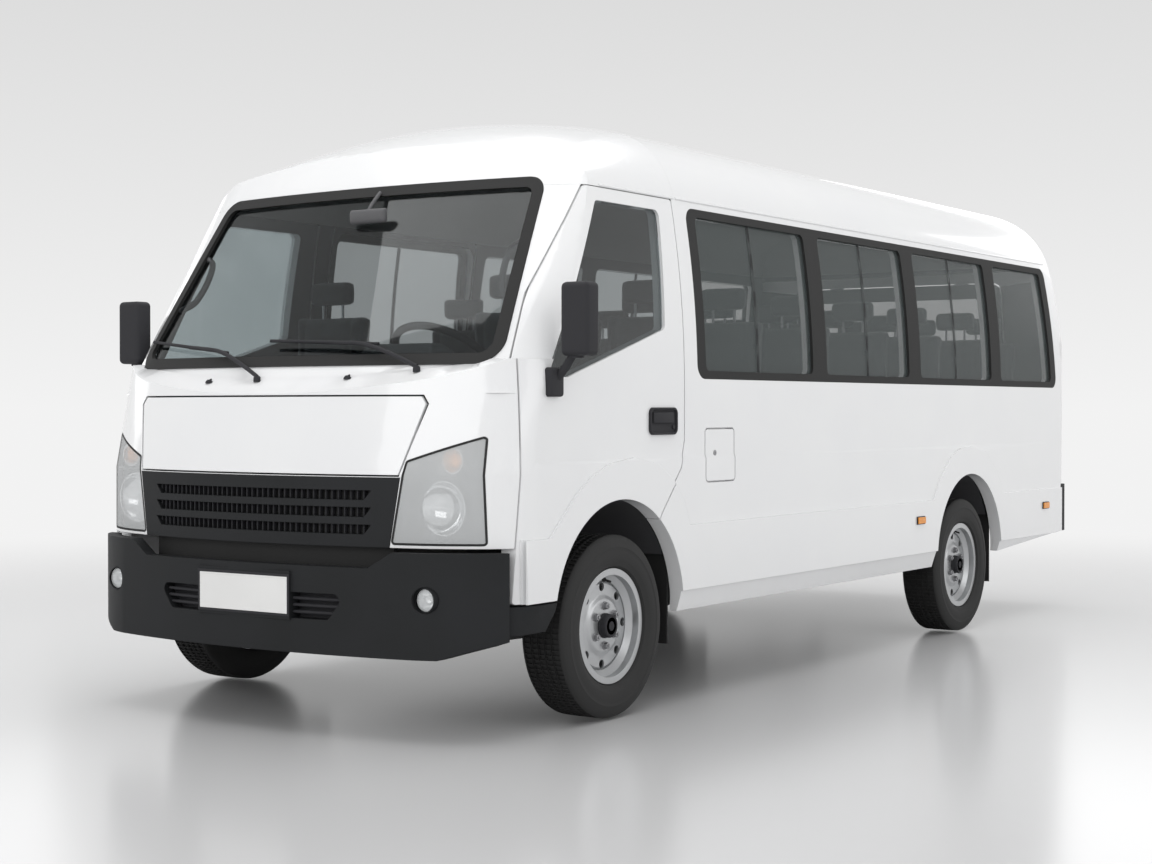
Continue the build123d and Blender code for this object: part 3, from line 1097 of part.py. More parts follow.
BENCHES = [(FRONT_SEAT_X, FRONT_SEAT_Y, 1), (-FRONT_SEAT_X, FRONT_SEAT_Y, 1)]
for row in range(SEAT_ROWS):
    y = FIRST_ROW_Y + ROW_PITCH * row
    BENCHES.append((LEFT_BENCH_X, y, 2))
    if row > 0:
        BENCHES.append((RIGHT_SEAT_X, y, 1))
BENCHES.append((0.0, REAR_BENCH_Y, 4))
cushions, backs, frames = [], [], []
for x, y, places in BENCHES:
    cushion, back, pan = seat_bench(x, FRONT_Y + y, places)
    leg_x = 60 if places == 1 else places * SEAT_WIDTH / 2 - 120
    legs = []
    for side in (-1, 1):
        leg = box(
            x + side * leg_x - 20, x + side * leg_x + 20, FRONT_Y + y - SEAT_LENGTH + 80, FRONT_Y + y,
            FLOOR_Z, CUSHION_TOP_Z - CUSHION_THICKNESS - 20)
        for hump in humps:
            leg = leg - hump
        pan = pan + leg
    cushions.append(cushion)
    backs.append(back)
    frames.append(pan)

# ---- write every node ----
NODES = {
    "chassis_frame": chassis_frame, "floor": floor, "front_axle": front_axle, "rear_axle": rear_axle,
    "leaf_springs": joined(springs), "engine": engine, "drive_shaft": drive_shaft, "fuel_tank": fuel_tank,
    "exhaust": exhaust, "body_front": body_front, "front_lid": front_lid, "grille": grille,
    "headlamps": both_sides(lamp), "windshield": windshield,
    "window_seals": joined([screen_seal, band_frame, mirrored(right_frame), mirrored(slide_frame)]),
    "side_glass": joined(band_panes + [mirrored(pane) for pane in right_panes] + [mirrored(slide_glass)]),
    "roof_front": roof_front, "roof_rear": roof_rear, "side_left": side_left, "side_right": mirrored(side_right),
    "sliding_door": mirrored(sliding_door), "door_left": door_left, "door_right": mirrored(door_left),
    "door_glass_left": door_glass_left, "door_glass_right": mirrored(door_glass_left),
    "mirror_left": mirror_left, "mirror_right": mirrored(mirror_left), "fuel_flap": fuel_flap,
    "rear_panel": rear_panel, "tailgate": tailgate, "tailgate_glass": tailgate_glass,
    "front_bumper": front_bumper, "rear_bumper": rear_bumper, "fog_lamps": both_sides(fog_lamp),
    "rear_lamps": both_sides(rear_lamp), "side_markers": joined(markers), "number_plate": plate_front,
    "wipers": joined(wipers), "mud_flaps": joined(flaps), "dashboard": dashboard,
    "steering_wheel": steering_wheel, "seat_cushions": joined(cushions), "seat_backs": joined(backs),
    "seat_frames": joined(frames), "knuckle_left": knuckle_left, "knuckle_right": knuckle_right,
    "tie_rod": tie_rod,
}
for corner, side, y in WHEELS:
    place = Pos(side * TRACK_HALF, y, TYRE_R)
    turn = Rot(0, 0, 0 if side > 0 else 180)
    NODES["wheel_" + corner] = place * turn * wheel_form
    NODES["tyre_" + corner] = place * turn * tyre_form
for node, shape in NODES.items():
    save(shape, node)
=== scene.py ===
"""Dress the minibus: finishes for its built nodes, and the detailed pieces that ride on its bodies.

Metres, +Z up. The nose faces -Y and the driver sits at +X. Sizes that belong to one sub-assembly are
fields of its class; what follows the built model is read from the frame.
"""
import json
import logging
import math
from collections.abc import Callable, Sequence
from dataclasses import dataclass, field
from enum import Enum

import bmesh
import bpy
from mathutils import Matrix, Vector
from mathutils.bvhtree import BVHTree

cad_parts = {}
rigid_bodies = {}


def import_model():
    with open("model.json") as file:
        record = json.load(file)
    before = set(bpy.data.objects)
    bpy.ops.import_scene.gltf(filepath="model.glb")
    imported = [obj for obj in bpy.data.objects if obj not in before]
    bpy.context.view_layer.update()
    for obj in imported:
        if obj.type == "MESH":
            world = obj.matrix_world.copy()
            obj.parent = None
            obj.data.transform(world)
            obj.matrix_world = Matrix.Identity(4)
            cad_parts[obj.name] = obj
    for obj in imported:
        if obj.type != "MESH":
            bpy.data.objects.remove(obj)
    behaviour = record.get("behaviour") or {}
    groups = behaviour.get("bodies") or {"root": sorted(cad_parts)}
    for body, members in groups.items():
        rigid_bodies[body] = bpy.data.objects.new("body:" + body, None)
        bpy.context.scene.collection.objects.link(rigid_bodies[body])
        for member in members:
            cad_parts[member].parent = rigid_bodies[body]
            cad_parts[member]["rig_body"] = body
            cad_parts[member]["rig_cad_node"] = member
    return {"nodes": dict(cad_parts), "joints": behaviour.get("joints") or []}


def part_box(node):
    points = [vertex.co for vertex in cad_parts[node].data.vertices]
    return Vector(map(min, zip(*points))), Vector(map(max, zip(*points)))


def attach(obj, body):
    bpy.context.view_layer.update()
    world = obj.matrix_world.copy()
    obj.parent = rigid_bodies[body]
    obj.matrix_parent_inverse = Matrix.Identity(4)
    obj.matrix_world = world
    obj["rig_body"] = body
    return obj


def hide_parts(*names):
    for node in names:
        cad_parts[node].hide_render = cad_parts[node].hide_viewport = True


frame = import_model()
for leftover in ("Cube", "Light", "Camera"):
    if leftover in bpy.data.objects:
        bpy.data.objects.remove(bpy.data.objects[leftover])
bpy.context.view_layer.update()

LOG = logging.getLogger("minibus")
Point = tuple[float, float, float]
Piece = bpy.types.Object
Face = bmesh.types.BMFace
Node = bpy.types.Node
Tree = bpy.types.NodeTree
Chooser = Callable[[Face], bool]

# ---- places shared by several sub-assemblies ----
FRONT_AXLE_Y = frame["joints"][0]["pos_m"][1]
REAR_AXLE_Y = 1.35
HUB_Z = frame["joints"][0]["pos_m"][2]
TRACK_HALF = 0.9325
MIRROR_IMAGE = (-1.0, 1.0, 1.0)
SMOOTH_ANGLE = math.radians(32)
EDGE_ANGLE = math.radians(35)
# Corners of a mesh that lie nearer to each other than this are merged.
MERGE = 0.00002
# A face looks along an axis when its normal's part along it is above this.
FACING = 0.9


class Side(Enum):
    """A side of the vehicle, as the sign of its X."""

    LEFT = 1
    RIGHT = -1

    @property
    def word(self) -> str:
        """The side's word in the pieces' names."""
        return self.name.lower()


class Axis(Enum):
    """An axis to turn a profile about."""

    X = (1.0, 0.0, 0.0)
    Y = (0.0, 1.0, 0.0)
    Z = (0.0, 0.0, 1.0)


# ---- shader groups that several finishes share ----
def add(tree: Tree, kind: str, values: dict | None = None, **traits: str | int) -> Node:
    """Add a node to a tree.

    Args:
        tree: the material's, group's or world's tree.
        kind: what the node is.
        values: its own values, by the input's label.
        traits: its settings.

    Returns:
        The node.
    """
    node = tree.nodes.new("ShaderNode" + kind)
    for trait, setting in traits.items():
        setattr(node, trait, setting)
    for label, value in (values or {}).items():
        node.inputs[label].default_value = value
    return node


def wire(tree: Tree, *joins: tuple) -> None:
    """Join nodes in a tree.

    Args:
        tree: the tree that they are in.
        joins: a node, its output, the node that it feeds and that node's input.
    """
    for source, output, target, given in joins:
        tree.links.new(source.outputs[output], target.inputs[given])


class ShaderGroups:
    """Node groups, each built once and placed in every finish that uses it."""

    def __init__(self) -> None:
        """Build every group."""
        self.grain = self._grain()
        self.rounding = self._rounding()
        self.mottle = self._mottle()
        self.road_film = self._road_film()
        self.weave = self._weave()

    @staticmethod
    def _new(name: str, inputs: dict[str, float], output: str, kind: str = "NodeSocketFloat") -> tuple:
        """Start a group.

        Args:
            name: the group's name.
            inputs: the default of each number that goes in.
            output: the name of what comes out.
            kind: the socket type of what comes out.

        Returns:
            The group, its input node and its output node.
        """
        group = bpy.data.node_groups.new(name, "ShaderNodeTree")
        for label, default in inputs.items():
            socket = group.interface.new_socket(label, in_out="INPUT", socket_type="NodeSocketFloat")
            socket.default_value = default
        group.interface.new_socket(output, in_out="OUTPUT", socket_type=kind)
        return group, group.nodes.new("NodeGroupInput"), group.nodes.new("NodeGroupOutput")

    def _grain(self) -> Tree:
        """Moulded or cast grain: a height that changes over the surface.

        Returns:
            The group's tree.
        """
        group, given, out = self._new("fine_grain", {"Scale": 900.0, "Detail": 2.0}, "Height")
        place, noise = add(group, "TexCoord"), add(group, "TexNoise")
        wire(group, (place, "Object", noise, "Vector"), (given, "Scale", noise, "Scale"),
             (given, "Detail", noise, "Detail"), (noise, "Fac", out, "Height"))
        return group

    def _rounding(self) -> Tree:
        """Soft panel edges: a normal that turns within a radius of each edge.

        Returns:
            The group's tree.
        """
        group, given, out = self._new("soft_edge", {"Radius": 0.002}, "Normal", "NodeSocketVector")
        bevel = add(group, "Bevel", samples=4)
        wire(group, (given, "Radius", bevel, "Radius"), (bevel, "Normal", out, "Normal"))
        return group

    def _mottle(self) -> Tree:
        """Broad unevenness of colour or gloss: a mask around one half.

        Returns:
            The group's tree.
        """
        group, given, out = self._new("mottle", {"Scale": 3.0, "Low": 0.35, "High": 0.65}, "Mask")
        place, span = add(group, "TexCoord"), add(group, "MapRange")
        noise = add(group, "TexNoise", {"Detail": 4.0})
        wire(group, (place, "Object", noise, "Vector"), (given, "Scale", noise, "Scale"),
             (noise, "Fac", span, "Value"), (given, "Low", span, "From Min"),
             (given, "High", span, "From Max"), (span, "Result", out, "Mask"))
        return group

    def _road_film(self) -> Tree:
        """A film of road dust that fades out with height.

        Returns:
            The group's tree.
        """
        group, given, out = self._new("road_film", {"Top": 0.7, "Amount": 0.3}, "Mask")
        place, apart = add(group, "TexCoord"), add(group, "SeparateXYZ")
        fade = add(group, "MapRange", {"To Min": 1.0, "To Max": 0.0})
        noise = add(group, "TexNoise", {"Scale": 9.0, "Detail": 6.0})
        patchy, film = add(group, "Math", operation="MULTIPLY"), add(group, "Math", operation="MULTIPLY")
        wire(group, (place, "Object", apart, "Vector"), (place, "Object", noise, "Vector"),
             (apart, "Z", fade, "Value"), (given, "Top", fade, "From Max"), (fade, "Result", patchy, 0),
             (noise, "Fac", patchy, 1), (patchy, "Value", film, 0), (given, "Amount", film, 1),
             (film, "Value", out, "Mask"))
        return group

    def _weave(self) -> Tree:
        """Woven seat cloth: crossing threads as a height.

        Returns:
            The group's tree.
        """
        group, given, out = self._new("seat_weave", {"Threads": 700.0}, "Height")
        place, crossing = add(group, "TexCoord"), add(group, "Math", operation="MULTIPLY")
        for index, direction in enumerate(("X", "Z")):
            wave = add(group, "TexWave", wave_type="BANDS", bands_direction=direction)
            wire(group, (place, "Object", wave, "Vector"), (given, "Threads", wave, "Scale"),
                 (wave, "Fac", crossing, index))
        wire(group, (crossing, "Value", out, "Height"))
        return group


GROUPS = ShaderGroups()


# ---- finishes ----
@dataclass(frozen=True)
class Finish:
    """One opaque or clear surface, from its colours, gloss and grain."""

    name: str
    slot: str
    colour: Point
    second: Point | None = None
    roughness: float = 0.5
    rough_span: float = 0.06
    metallic: float = 0.0
    coat: float = 0.0
    coat_roughness: float = 0.03
    transmission: float = 0.0
    ior: float = 1.45
    sheen: float = 0.0
    glow: float = 0.0
    grain_scale: float = 0.0
    grain_height: float = 0.0
    weave_threads: float = 0.0
    edge_radius: float = 0.0
    film_top: float = 0.0
    film_amount: float = 0.0
    dust: Point = (0.30, 0.28, 0.25)
    mottle_scale: float = 2.5
    shade: float = 0.94

    def build(self) -> bpy.types.Material:
        """Make the material once.

        Returns:
            The material, ready to assign.
        """
        known = bpy.data.materials.get(self.name)
        if known:
            return known
        material = bpy.data.materials.new(self.name)
        material.use_nodes = True
        tree = material.node_tree
        shader = tree.nodes["Principled BSDF"]
        plain = {"Metallic": self.metallic, "IOR": self.ior, "Transmission Weight": self.transmission,
                 "Coat Weight": self.coat, "Coat Roughness": self.coat_roughness, "Sheen Weight": self.sheen}
        if self.glow:
            plain |= {"Emission Color": (*self.colour, 1), "Emission Strength": self.glow}
        for label, value in plain.items():
            shader.inputs[label].default_value = value
        mottle = self._placed(tree, GROUPS.mottle, Scale=self.mottle_scale)
        second = self.second or tuple(value * self.shade for value in self.colour)
        paint = add(tree, "Mix", data_type="RGBA")
        paint.inputs["A"].default_value = (*self.colour, 1)
        paint.inputs["B"].default_value = (*second, 1)
        wire(tree, (mottle, "Mask", paint, "Factor"))
        if self.film_amount:
            film = self._placed(tree, GROUPS.road_film, Top=self.film_top, Amount=self.film_amount)
            dusty = add(tree, "Mix", data_type="RGBA")
            dusty.inputs["B"].default_value = (*self.dust, 1)
            wire(tree, (film, "Mask", dusty, "Factor"), (paint, "Result", dusty, "A"))
            paint = dusty
        half = self.rough_span / 2
        gloss = add(tree, "MapRange", {"To Min": self.roughness - half, "To Max": self.roughness + half})
        wire(tree, (paint, "Result", shader, "Base Color"), (mottle, "Mask", gloss, "Value"),
             (gloss, "Result", shader, "Roughness"))
        self._relief(tree, shader)
        return material

    @staticmethod
    def _placed(tree: Tree, group: Tree, **values: float) -> Node:
        """A shader group in this material, with its own values.

        Args:
            tree: the material's tree.
            group: the shader group.
            values: the values of its inputs.

        Returns:
            The group's node.
        """
        node = add(tree, "Group")
        node.node_tree = group
        for label, value in values.items():
            node.inputs[label].default_value = value
        return node

    def _relief(self, tree: Tree, shader: Node) -> None:
        """Feed the normal from the soft edges and the grain or weave.

        Args:
            tree: the material's tree.
            shader: the shader that takes the normal.
        """
        normal = relief = None
        if self.edge_radius:
            normal = self._placed(tree, GROUPS.rounding, Radius=self.edge_radius)
        if self.weave_threads:
            relief = self._placed(tree, GROUPS.weave, Threads=self.weave_threads)
        elif self.grain_height:
            relief = self._placed(tree, GROUPS.grain, Scale=self.grain_scale)
        if relief:
            bump = add(tree, "Bump", {"Strength": 1.0, "Distance": self.grain_height})
            wire(tree, (relief, "Height", bump, "Height"))
            if normal:
                wire(tree, (normal, "Normal", bump, "Normal"))
            normal = bump
        if normal:
            wire(tree, (normal, "Normal", shader, "Normal"))


PAINT = Finish("white_body_paint", "white_paint", (0.80, 0.805, 0.81), second=(0.785, 0.79, 0.80),
               roughness=0.16, rough_span=0.02, coat=0.6, grain_scale=160, grain_height=0.00002,
               edge_radius=0.0035, film_top=0.55, film_amount=0.05)
CHARCOAL = Finish("charcoal_moulding", "charcoal_plastic", (0.013, 0.014, 0.015),
                  second=(0.018, 0.019, 0.021), roughness=0.60, ior=1.32, rough_span=0.08,
                  grain_scale=1400, grain_height=0.0002, edge_radius=0.004)
BLACK_PLASTIC = Finish("black_plastic", "black_plastic", (0.007, 0.007, 0.008), roughness=0.46,
                       grain_scale=1500, grain_height=0.00015, edge_radius=0.002)
RUBBER = Finish("black_rubber", "black_rubber", (0.010, 0.010, 0.011), roughness=0.55, grain_scale=600,
                grain_height=0.0001, edge_radius=0.002)
TYRE = Finish("tyre_rubber", "tyre_rubber", (0.011, 0.011, 0.012), second=(0.019, 0.018, 0.017),
              roughness=0.68, grain_scale=700, grain_height=0.0003, film_top=0.5, film_amount=0.12,
              mottle_scale=12)
STEEL = Finish("silver_wheel_paint", "silver_steel", (0.52, 0.53, 0.54), roughness=0.32, metallic=0.75,
               coat=0.2, grain_scale=500, grain_height=0.00006, edge_radius=0.0015, film_top=0.5,
               film_amount=0.05)
CHASSIS_BLACK = Finish("chassis_black", "black_paint", (0.020, 0.020, 0.021), second=(0.034, 0.031, 0.028),
                       roughness=0.6, grain_scale=300, grain_height=0.0003, edge_radius=0.002,
                       film_top=0.9, film_amount=0.2)
CAST = Finish("cast_metal", "cast_metal", (0.10, 0.10, 0.10), roughness=0.6, metallic=0.7, grain_scale=350,
              grain_height=0.0006, edge_radius=0.003, film_top=0.9, film_amount=0.15)
BARE_STEEL = Finish("bare_steel", "bare_steel", (0.30, 0.30, 0.31), roughness=0.4, metallic=0.9,
                    grain_scale=400, grain_height=0.0002, edge_radius=0.001)
CHROME = Finish("lamp_reflector", "silver_steel", (0.86, 0.87, 0.88), roughness=0.08, metallic=1.0,
                grain_scale=30, grain_height=0.00005)
LAMP_BOWL = Finish("lamp_bowl", "silver_steel", (0.09, 0.092, 0.095), roughness=0.28, metallic=1.0,
                   grain_scale=70, grain_height=0.0012)
MIRROR_GLASS = Finish("mirror_glass", "silver_steel", (0.75, 0.77, 0.78), roughness=0.03, metallic=1.0,
                      rough_span=0.01, grain_scale=20, grain_height=0.00001)
TINTED_GLASS = Finish("tinted_glass", "tinted_glass", (0.29, 0.33, 0.35), roughness=0.03, rough_span=0.01,
                      transmission=1.0)
SCREEN_GLASS = Finish("screen_glass", "tinted_glass", (0.55, 0.60, 0.61), roughness=0.02, rough_span=0.01,
                      transmission=1.0)
LENS = Finish("clear_lens", "clear_lens", (0.93, 0.95, 0.96), roughness=0.03, rough_span=0.01,
              transmission=1.0, ior=1.3)
AMBER = Finish("amber_lens", "amber_lens", (0.80, 0.24, 0.02), roughness=0.12, coat=0.4, edge_radius=0.001,
               glow=0.05)
RED = Finish("red_lens", "red_lens", (0.36, 0.010, 0.012), roughness=0.12, coat=0.5, edge_radius=0.001)
CLOTH = Finish("seat_cloth", "grey_cloth", (0.030, 0.032, 0.036), second=(0.042, 0.045, 0.050),
               roughness=0.9, sheen=0.35, weave_threads=260, grain_height=0.0005, mottle_scale=6)
CLOTH_LIGHT = Finish("seat_cloth_panel", "grey_cloth", (0.055, 0.058, 0.064), second=(0.040, 0.043, 0.048),
                     roughness=0.9, sheen=0.35, weave_threads=180, grain_height=0.0006, mottle_scale=9)
INTERIOR = Finish("interior_moulding", "grey_interior", (0.10, 0.10, 0.105), roughness=0.6,
                  grain_scale=900, grain_height=0.0003, edge_radius=0.003)
FLOOR_MAT = Finish("floor_covering", "floor_covering", (0.055, 0.056, 0.058), roughness=0.8,
                   grain_scale=450, grain_height=0.0006)
PLATE = Finish("plate_enamel", "plate_white", (0.80, 0.80, 0.79), roughness=0.35, coat=0.3,
               grain_scale=700, grain_height=0.00003, edge_radius=0.001)
LINING = Finish("headlining", "grey_interior", (0.42, 0.42, 0.41), roughness=0.95, grain_scale=800,
                grain_height=0.0004)


# ---- modelling ----
class Bench:
    """Modelling steps that every sub-assembly uses."""

    @staticmethod
    def clear() -> None:
        """Leave edit mode and deselect everything."""
        if bpy.context.object and bpy.context.object.mode != "OBJECT":
            bpy.ops.object.mode_set(mode="OBJECT")
        bpy.ops.object.select_all(action="DESELECT")

    @classmethod
    def pick(cls, *objects: Piece) -> None:
        """Select just these objects, the first of them active.

        Args:
            objects: what is selected.
        """
        cls.clear()
        for item in objects:
            item.select_set(True)
        bpy.context.view_layer.objects.active = objects[0]

    @classmethod
    def open_all(cls, piece: Piece) -> None:
        """Open a piece in edit mode with all of it selected.

        Args:
            piece: the piece to work on.
        """
        cls.pick(piece)
        bpy.ops.object.mode_set(mode="EDIT")
        bpy.ops.mesh.select_all(action="SELECT")

    @staticmethod
    def close() -> None:
        """Leave edit mode."""
        bpy.ops.object.mode_set(mode="OBJECT")

    @classmethod
    def outwards(cls, piece: Piece) -> Piece:
        """Turn a closed piece's faces outwards.

        Args:
            piece: the piece to work on.

        Returns:
            The piece.
        """
        cls.open_all(piece)
        bpy.ops.mesh.normals_make_consistent(inside=False)
        cls.close()
        return piece

    @classmethod
    def settle(cls, piece: Piece) -> Piece:
        """Put a piece's place, turn and scale into its mesh.

        Args:
            piece: the piece to work on.

        Returns:
            The piece.
        """
        cls.pick(piece)
        bpy.ops.object.transform_apply(location=True, rotation=True, scale=True)
        return piece

    @classmethod
    def block(cls, name: str, low: Point, high: Point) -> Piece:
        """A block between two corners.

        Args:
            name: the piece's name.
            low: the lowest corner.
            high: the highest corner.

        Returns:
            The block, settled.
        """
        cls.clear()
        bpy.ops.mesh.primitive_cube_add(size=1, location=[(a + b) / 2 for a, b in zip(low, high)])
        piece = bpy.context.object
        piece.name = name
        piece.scale = [b - a for a, b in zip(low, high)]
        return cls.settle(piece)

    @classmethod
    def bar(cls, name: str, start: Point, end: Point, radius: float, sides: int = 24) -> Piece:
        """A round bar between two points.

        Args:
            name: the piece's name.
            start: the middle of one end.
            end: the middle of the other end.
            radius: the bar's radius.
            sides: how many flats make the round.

        Returns:
            The bar, settled.
        """
        cls.clear()
        along = Vector(end) - Vector(start)
        bpy.ops.mesh.primitive_cylinder_add(
            vertices=sides, radius=radius, depth=along.length, location=(Vector(start) + Vector(end)) / 2,
            rotation=along.to_track_quat("Z", "Y").to_euler())
        piece = bpy.context.object
        piece.name = name
        return cls.settle(piece)

    @classmethod
    def outline(cls, name: str, points: Sequence[Point], push: Point, closed: bool = True) -> Piece:
        """A flat outline drawn by extruding a corner from point to point, filled, then pushed.

        Args:
            name: the piece's name.
            points: the outline's corners in order.
            push: how far and where to the face is extruded.
            closed: whether the outline is filled before it is pushed.

        Returns:
            The solid, or the strip where the outline isn't closed.
        """
        cls.clear()
        bpy.ops.mesh.primitive_plane_add(size=1, location=(0, 0, 0))
        piece = bpy.context.object
        piece.name = name
        bpy.ops.object.mode_set(mode="EDIT")
        bpy.ops.mesh.select_mode(type="VERT")
        bpy.ops.mesh.select_all(action="SELECT")
        bpy.ops.mesh.merge(type="CENTER")
        bpy.ops.transform.translate(value=points[0])
        for before, after in zip(points, points[1:]):
            bpy.ops.mesh.extrude_region_move(
                TRANSFORM_OT_translate={"value": [b - a for a, b in zip(before, after)]})
        bpy.ops.mesh.select_all(action="SELECT")
        if closed:
            bpy.ops.mesh.edge_face_add()
        if any(push):
            bpy.ops.mesh.extrude_region_move(TRANSFORM_OT_translate={"value": push})
        cls.close()
        return cls.outwards(piece)

    @classmethod
    def turned(cls, name: str, profile: Sequence[tuple[float, float]], axis: Axis, centre: Point,
               steps: int = 48) -> Piece:
        """A profile spun about an axis.

        Args:
            name: the piece's name.
            profile: place along the axis and radius of each corner.
            axis: the axis that it turns about.
            centre: a point on that axis.
            steps: how many faces go round.

        Returns:
            The turned piece with its normals outwards.
        """
        along = Vector(axis.value)
        out = Vector((0, 0, 1)) if axis is not Axis.Z else Vector((1, 0, 0))
        points = [tuple(Vector(centre) + along * a + out * r) for a, r in profile]
        piece = cls.outline(name, points, (0, 0, 0), closed=False)
        cls.open_all(piece)
        bpy.ops.mesh.spin(steps=steps, angle=math.tau, center=centre, axis=axis.value)
        bpy.ops.mesh.select_all(action="SELECT")
        bpy.ops.mesh.remove_doubles(threshold=MERGE)
        cls.close()
        return cls.outwards(piece)

    @classmethod
    def hose(cls, name: str, points: Sequence[Point], radius: float) -> Piece:
        """A bent round bar along a smooth line.

        Args:
            name: the piece's name.
            points: the line's control points.
            radius: the bar's radius.

        Returns:
            The bar as a mesh.
        """
        cls.clear()
        bpy.ops.curve.primitive_nurbs_path_add(location=(0, 0, 0))
        line = bpy.context.object
        line.name = name
        line.data.splines.remove(line.data.splines[0])
        spline = line.data.splines.new("NURBS")
        spline.points.add(len(points) - 1)
        for knot, point in zip(spline.points, points):
            knot.co = (*point, 1)
        spline.order_u = 3
        spline.use_endpoint_u = True
        line.data.bevel_depth = radius
        line.data.bevel_resolution = 3
        line.data.use_fill_caps = True
        line.data.resolution_u = 8
        bpy.ops.object.convert(target="MESH")
        piece = bpy.context.object
        piece.name = name
        return piece

    @classmethod
    def work(cls, piece: Piece, choose: Chooser) -> int:
        """Open a piece in edit mode with just some of its faces selected.

        Args:
            piece: the piece to work on.
            choose: tells whether a face is taken.

        Returns:
            How many faces are selected.
        """
        cls.pick(piece)
        bpy.ops.object.mode_set(mode="EDIT")
        bpy.ops.mesh.select_mode(type="FACE")
        bpy.ops.mesh.select_all(action="DESELECT")
        mesh = bmesh.from_edit_mesh(piece.data)
        mesh.faces.ensure_lookup_table()
        taken = [face for face in mesh.faces if choose(face)]
        for face in taken:
            face.select_set(True)
        bmesh.update_edit_mesh(piece.data)
        return len(taken)

    @classmethod
    def cut_away(cls, piece: Piece, choose: Chooser) -> Piece:
        """Delete the chosen faces.

        Args:
            piece: the piece to work on.
            choose: tells whether a face is taken.

        Returns:
            The piece.
        """
        cls.work(piece, choose)
        bpy.ops.mesh.delete(type="FACE")
        cls.close()
        return piece

    @classmethod
    def draw_in(cls, piece: Piece, choose: Chooser, rim: float,
                move: Point = (0, 0, 0)) -> Piece:
        """Inset the chosen faces by a rim and slide what is inside it, so that the rim slopes.

        Args:
            piece: the piece to work on.
            choose: tells whether a face is taken.
            rim: the width of the rim.
            move: how the inset faces move.

        Returns:
            The piece.
        """
        cls.work(piece, choose)
        bpy.ops.mesh.inset(thickness=rim)
        if any(move):
            bpy.ops.transform.translate(value=move)
        cls.close()
        return piece

    @classmethod
    def sink(cls, piece: Piece, choose: Chooser, rim: float, push: Point) -> Piece:
        """Inset the chosen faces by a rim and push what is inside it, with an upright wall.

        Args:
            piece: the piece to work on.
            choose: tells whether a face is taken.
            rim: the width of the rim that stays.
            push: how the inset faces move.

        Returns:
            The piece.
        """
        if cls.work(piece, choose):
            bpy.ops.mesh.inset(thickness=rim, use_even_offset=True)
            bpy.ops.mesh.extrude_region_move(TRANSFORM_OT_translate={"value": push})
        cls.close()
        return piece

    @classmethod
    def finish_mesh(cls, piece: Piece, bevel: float = 0.0, segments: int = 2) -> Piece:
        """Round the edges if asked, and smooth by angle.

        Args:
            piece: the piece to finish.
            bevel: the width of the rounded edge, or 0.
            segments: how many strips make it.

        Returns:
            The piece.
        """
        cls.pick(piece)
        if bevel:
            rounder = piece.modifiers.new("rounded_edges", "BEVEL")
            rounder.width = bevel
            rounder.segments = segments
            rounder.limit_method = "ANGLE"
            rounder.angle_limit = EDGE_ANGLE
            rounder.harden_normals = False
            bpy.ops.object.modifier_apply(modifier=rounder.name)
        bpy.ops.object.shade_smooth_by_angle(angle=SMOOTH_ANGLE)
        return piece

    @classmethod
    def even_normals(cls, piece: Piece) -> Piece:
        """Smooth a built panel's round forms, keep its edges crisp and leave its flats even.

        Args:
            piece: the piece to smooth.

        Returns:
            The piece.
        """
        cls.pick(piece)
        bpy.ops.object.shade_smooth_by_angle(angle=SMOOTH_ANGLE)
        weigher = piece.modifiers.new("even_normals", "WEIGHTED_NORMAL")
        weigher.keep_sharp = True
        weigher.weight = 80
        bpy.ops.object.modifier_apply(modifier=weigher.name)
        return piece

    @classmethod
    def fused(cls, name: str, pieces: Sequence[Piece]) -> Piece:
        """Several meshes joined into one object.

        Args:
            name: the joined piece's name.
            pieces: the meshes, of which the first stays.

        Returns:
            The joined piece.
        """
        cls.pick(*pieces)
        if len(pieces) > 1:
            bpy.ops.object.join()
        piece = bpy.context.object
        piece.name = name
        return piece

    @classmethod
    def twin(cls, piece: Piece, name: str) -> Piece:
        """The piece's mirror image across the middle of the vehicle, with its own mesh.

        Args:
            piece: the piece to copy.
            name: the image's name.

        Returns:
            The image.
        """
        cls.pick(piece)
        bpy.ops.object.duplicate()
        other = bpy.context.object
        other.name = name
        other.scale = MIRROR_IMAGE
        cls.open_all(cls.settle(other))
        bpy.ops.mesh.flip_normals()
        cls.close()
        return other

    @classmethod
    def swapped(cls, piece: Piece) -> Piece:
        """Swap a piece for its mirror image, under the same name.

        Args:
            piece: the piece, which goes.

        Returns:
            The image.
        """
        name = piece.name
        image = cls.twin(piece, name + "_image")
        bpy.data.objects.remove(piece)
        image.name = name
        return image

    @classmethod
    def copy_at(cls, piece: Piece, name: str, move: Point) -> Piece:
        """A copy of the piece with its own mesh, moved.

        Args:
            piece: the piece to copy.
            name: the copy's name.
            move: how far the copy moves.

        Returns:
            The copy, settled.
        """
        cls.pick(piece)
        bpy.ops.object.duplicate()
        other = bpy.context.object
        other.name = name
        other.location = move
        return cls.settle(other)

    @classmethod
    def node_copy(cls, node: str, name: str) -> Piece:
        """A merged copy of a built node, smooth where it is round.

        Args:
            node: the node's name.
            name: the copy's name.

        Returns:
            The copy, with no parent.
        """
        source = frame["nodes"][node]
        hidden = source.hide_viewport
        source.hide_viewport = False
        cls.pick(source)
        bpy.ops.object.duplicate()
        piece = bpy.context.object
        source.hide_viewport = hidden
        piece.hide_render = False
        piece.name = name
        bpy.ops.object.parent_clear(type="CLEAR_KEEP_TRANSFORM")
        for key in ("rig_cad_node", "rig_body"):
            if key in piece:
                del piece[key]
        piece.data.materials.clear()
        cls.open_all(piece)
        bpy.ops.mesh.remove_doubles(threshold=MERGE)
        bpy.ops.mesh.customdata_custom_splitnormals_clear()
        cls.close()
        return piece


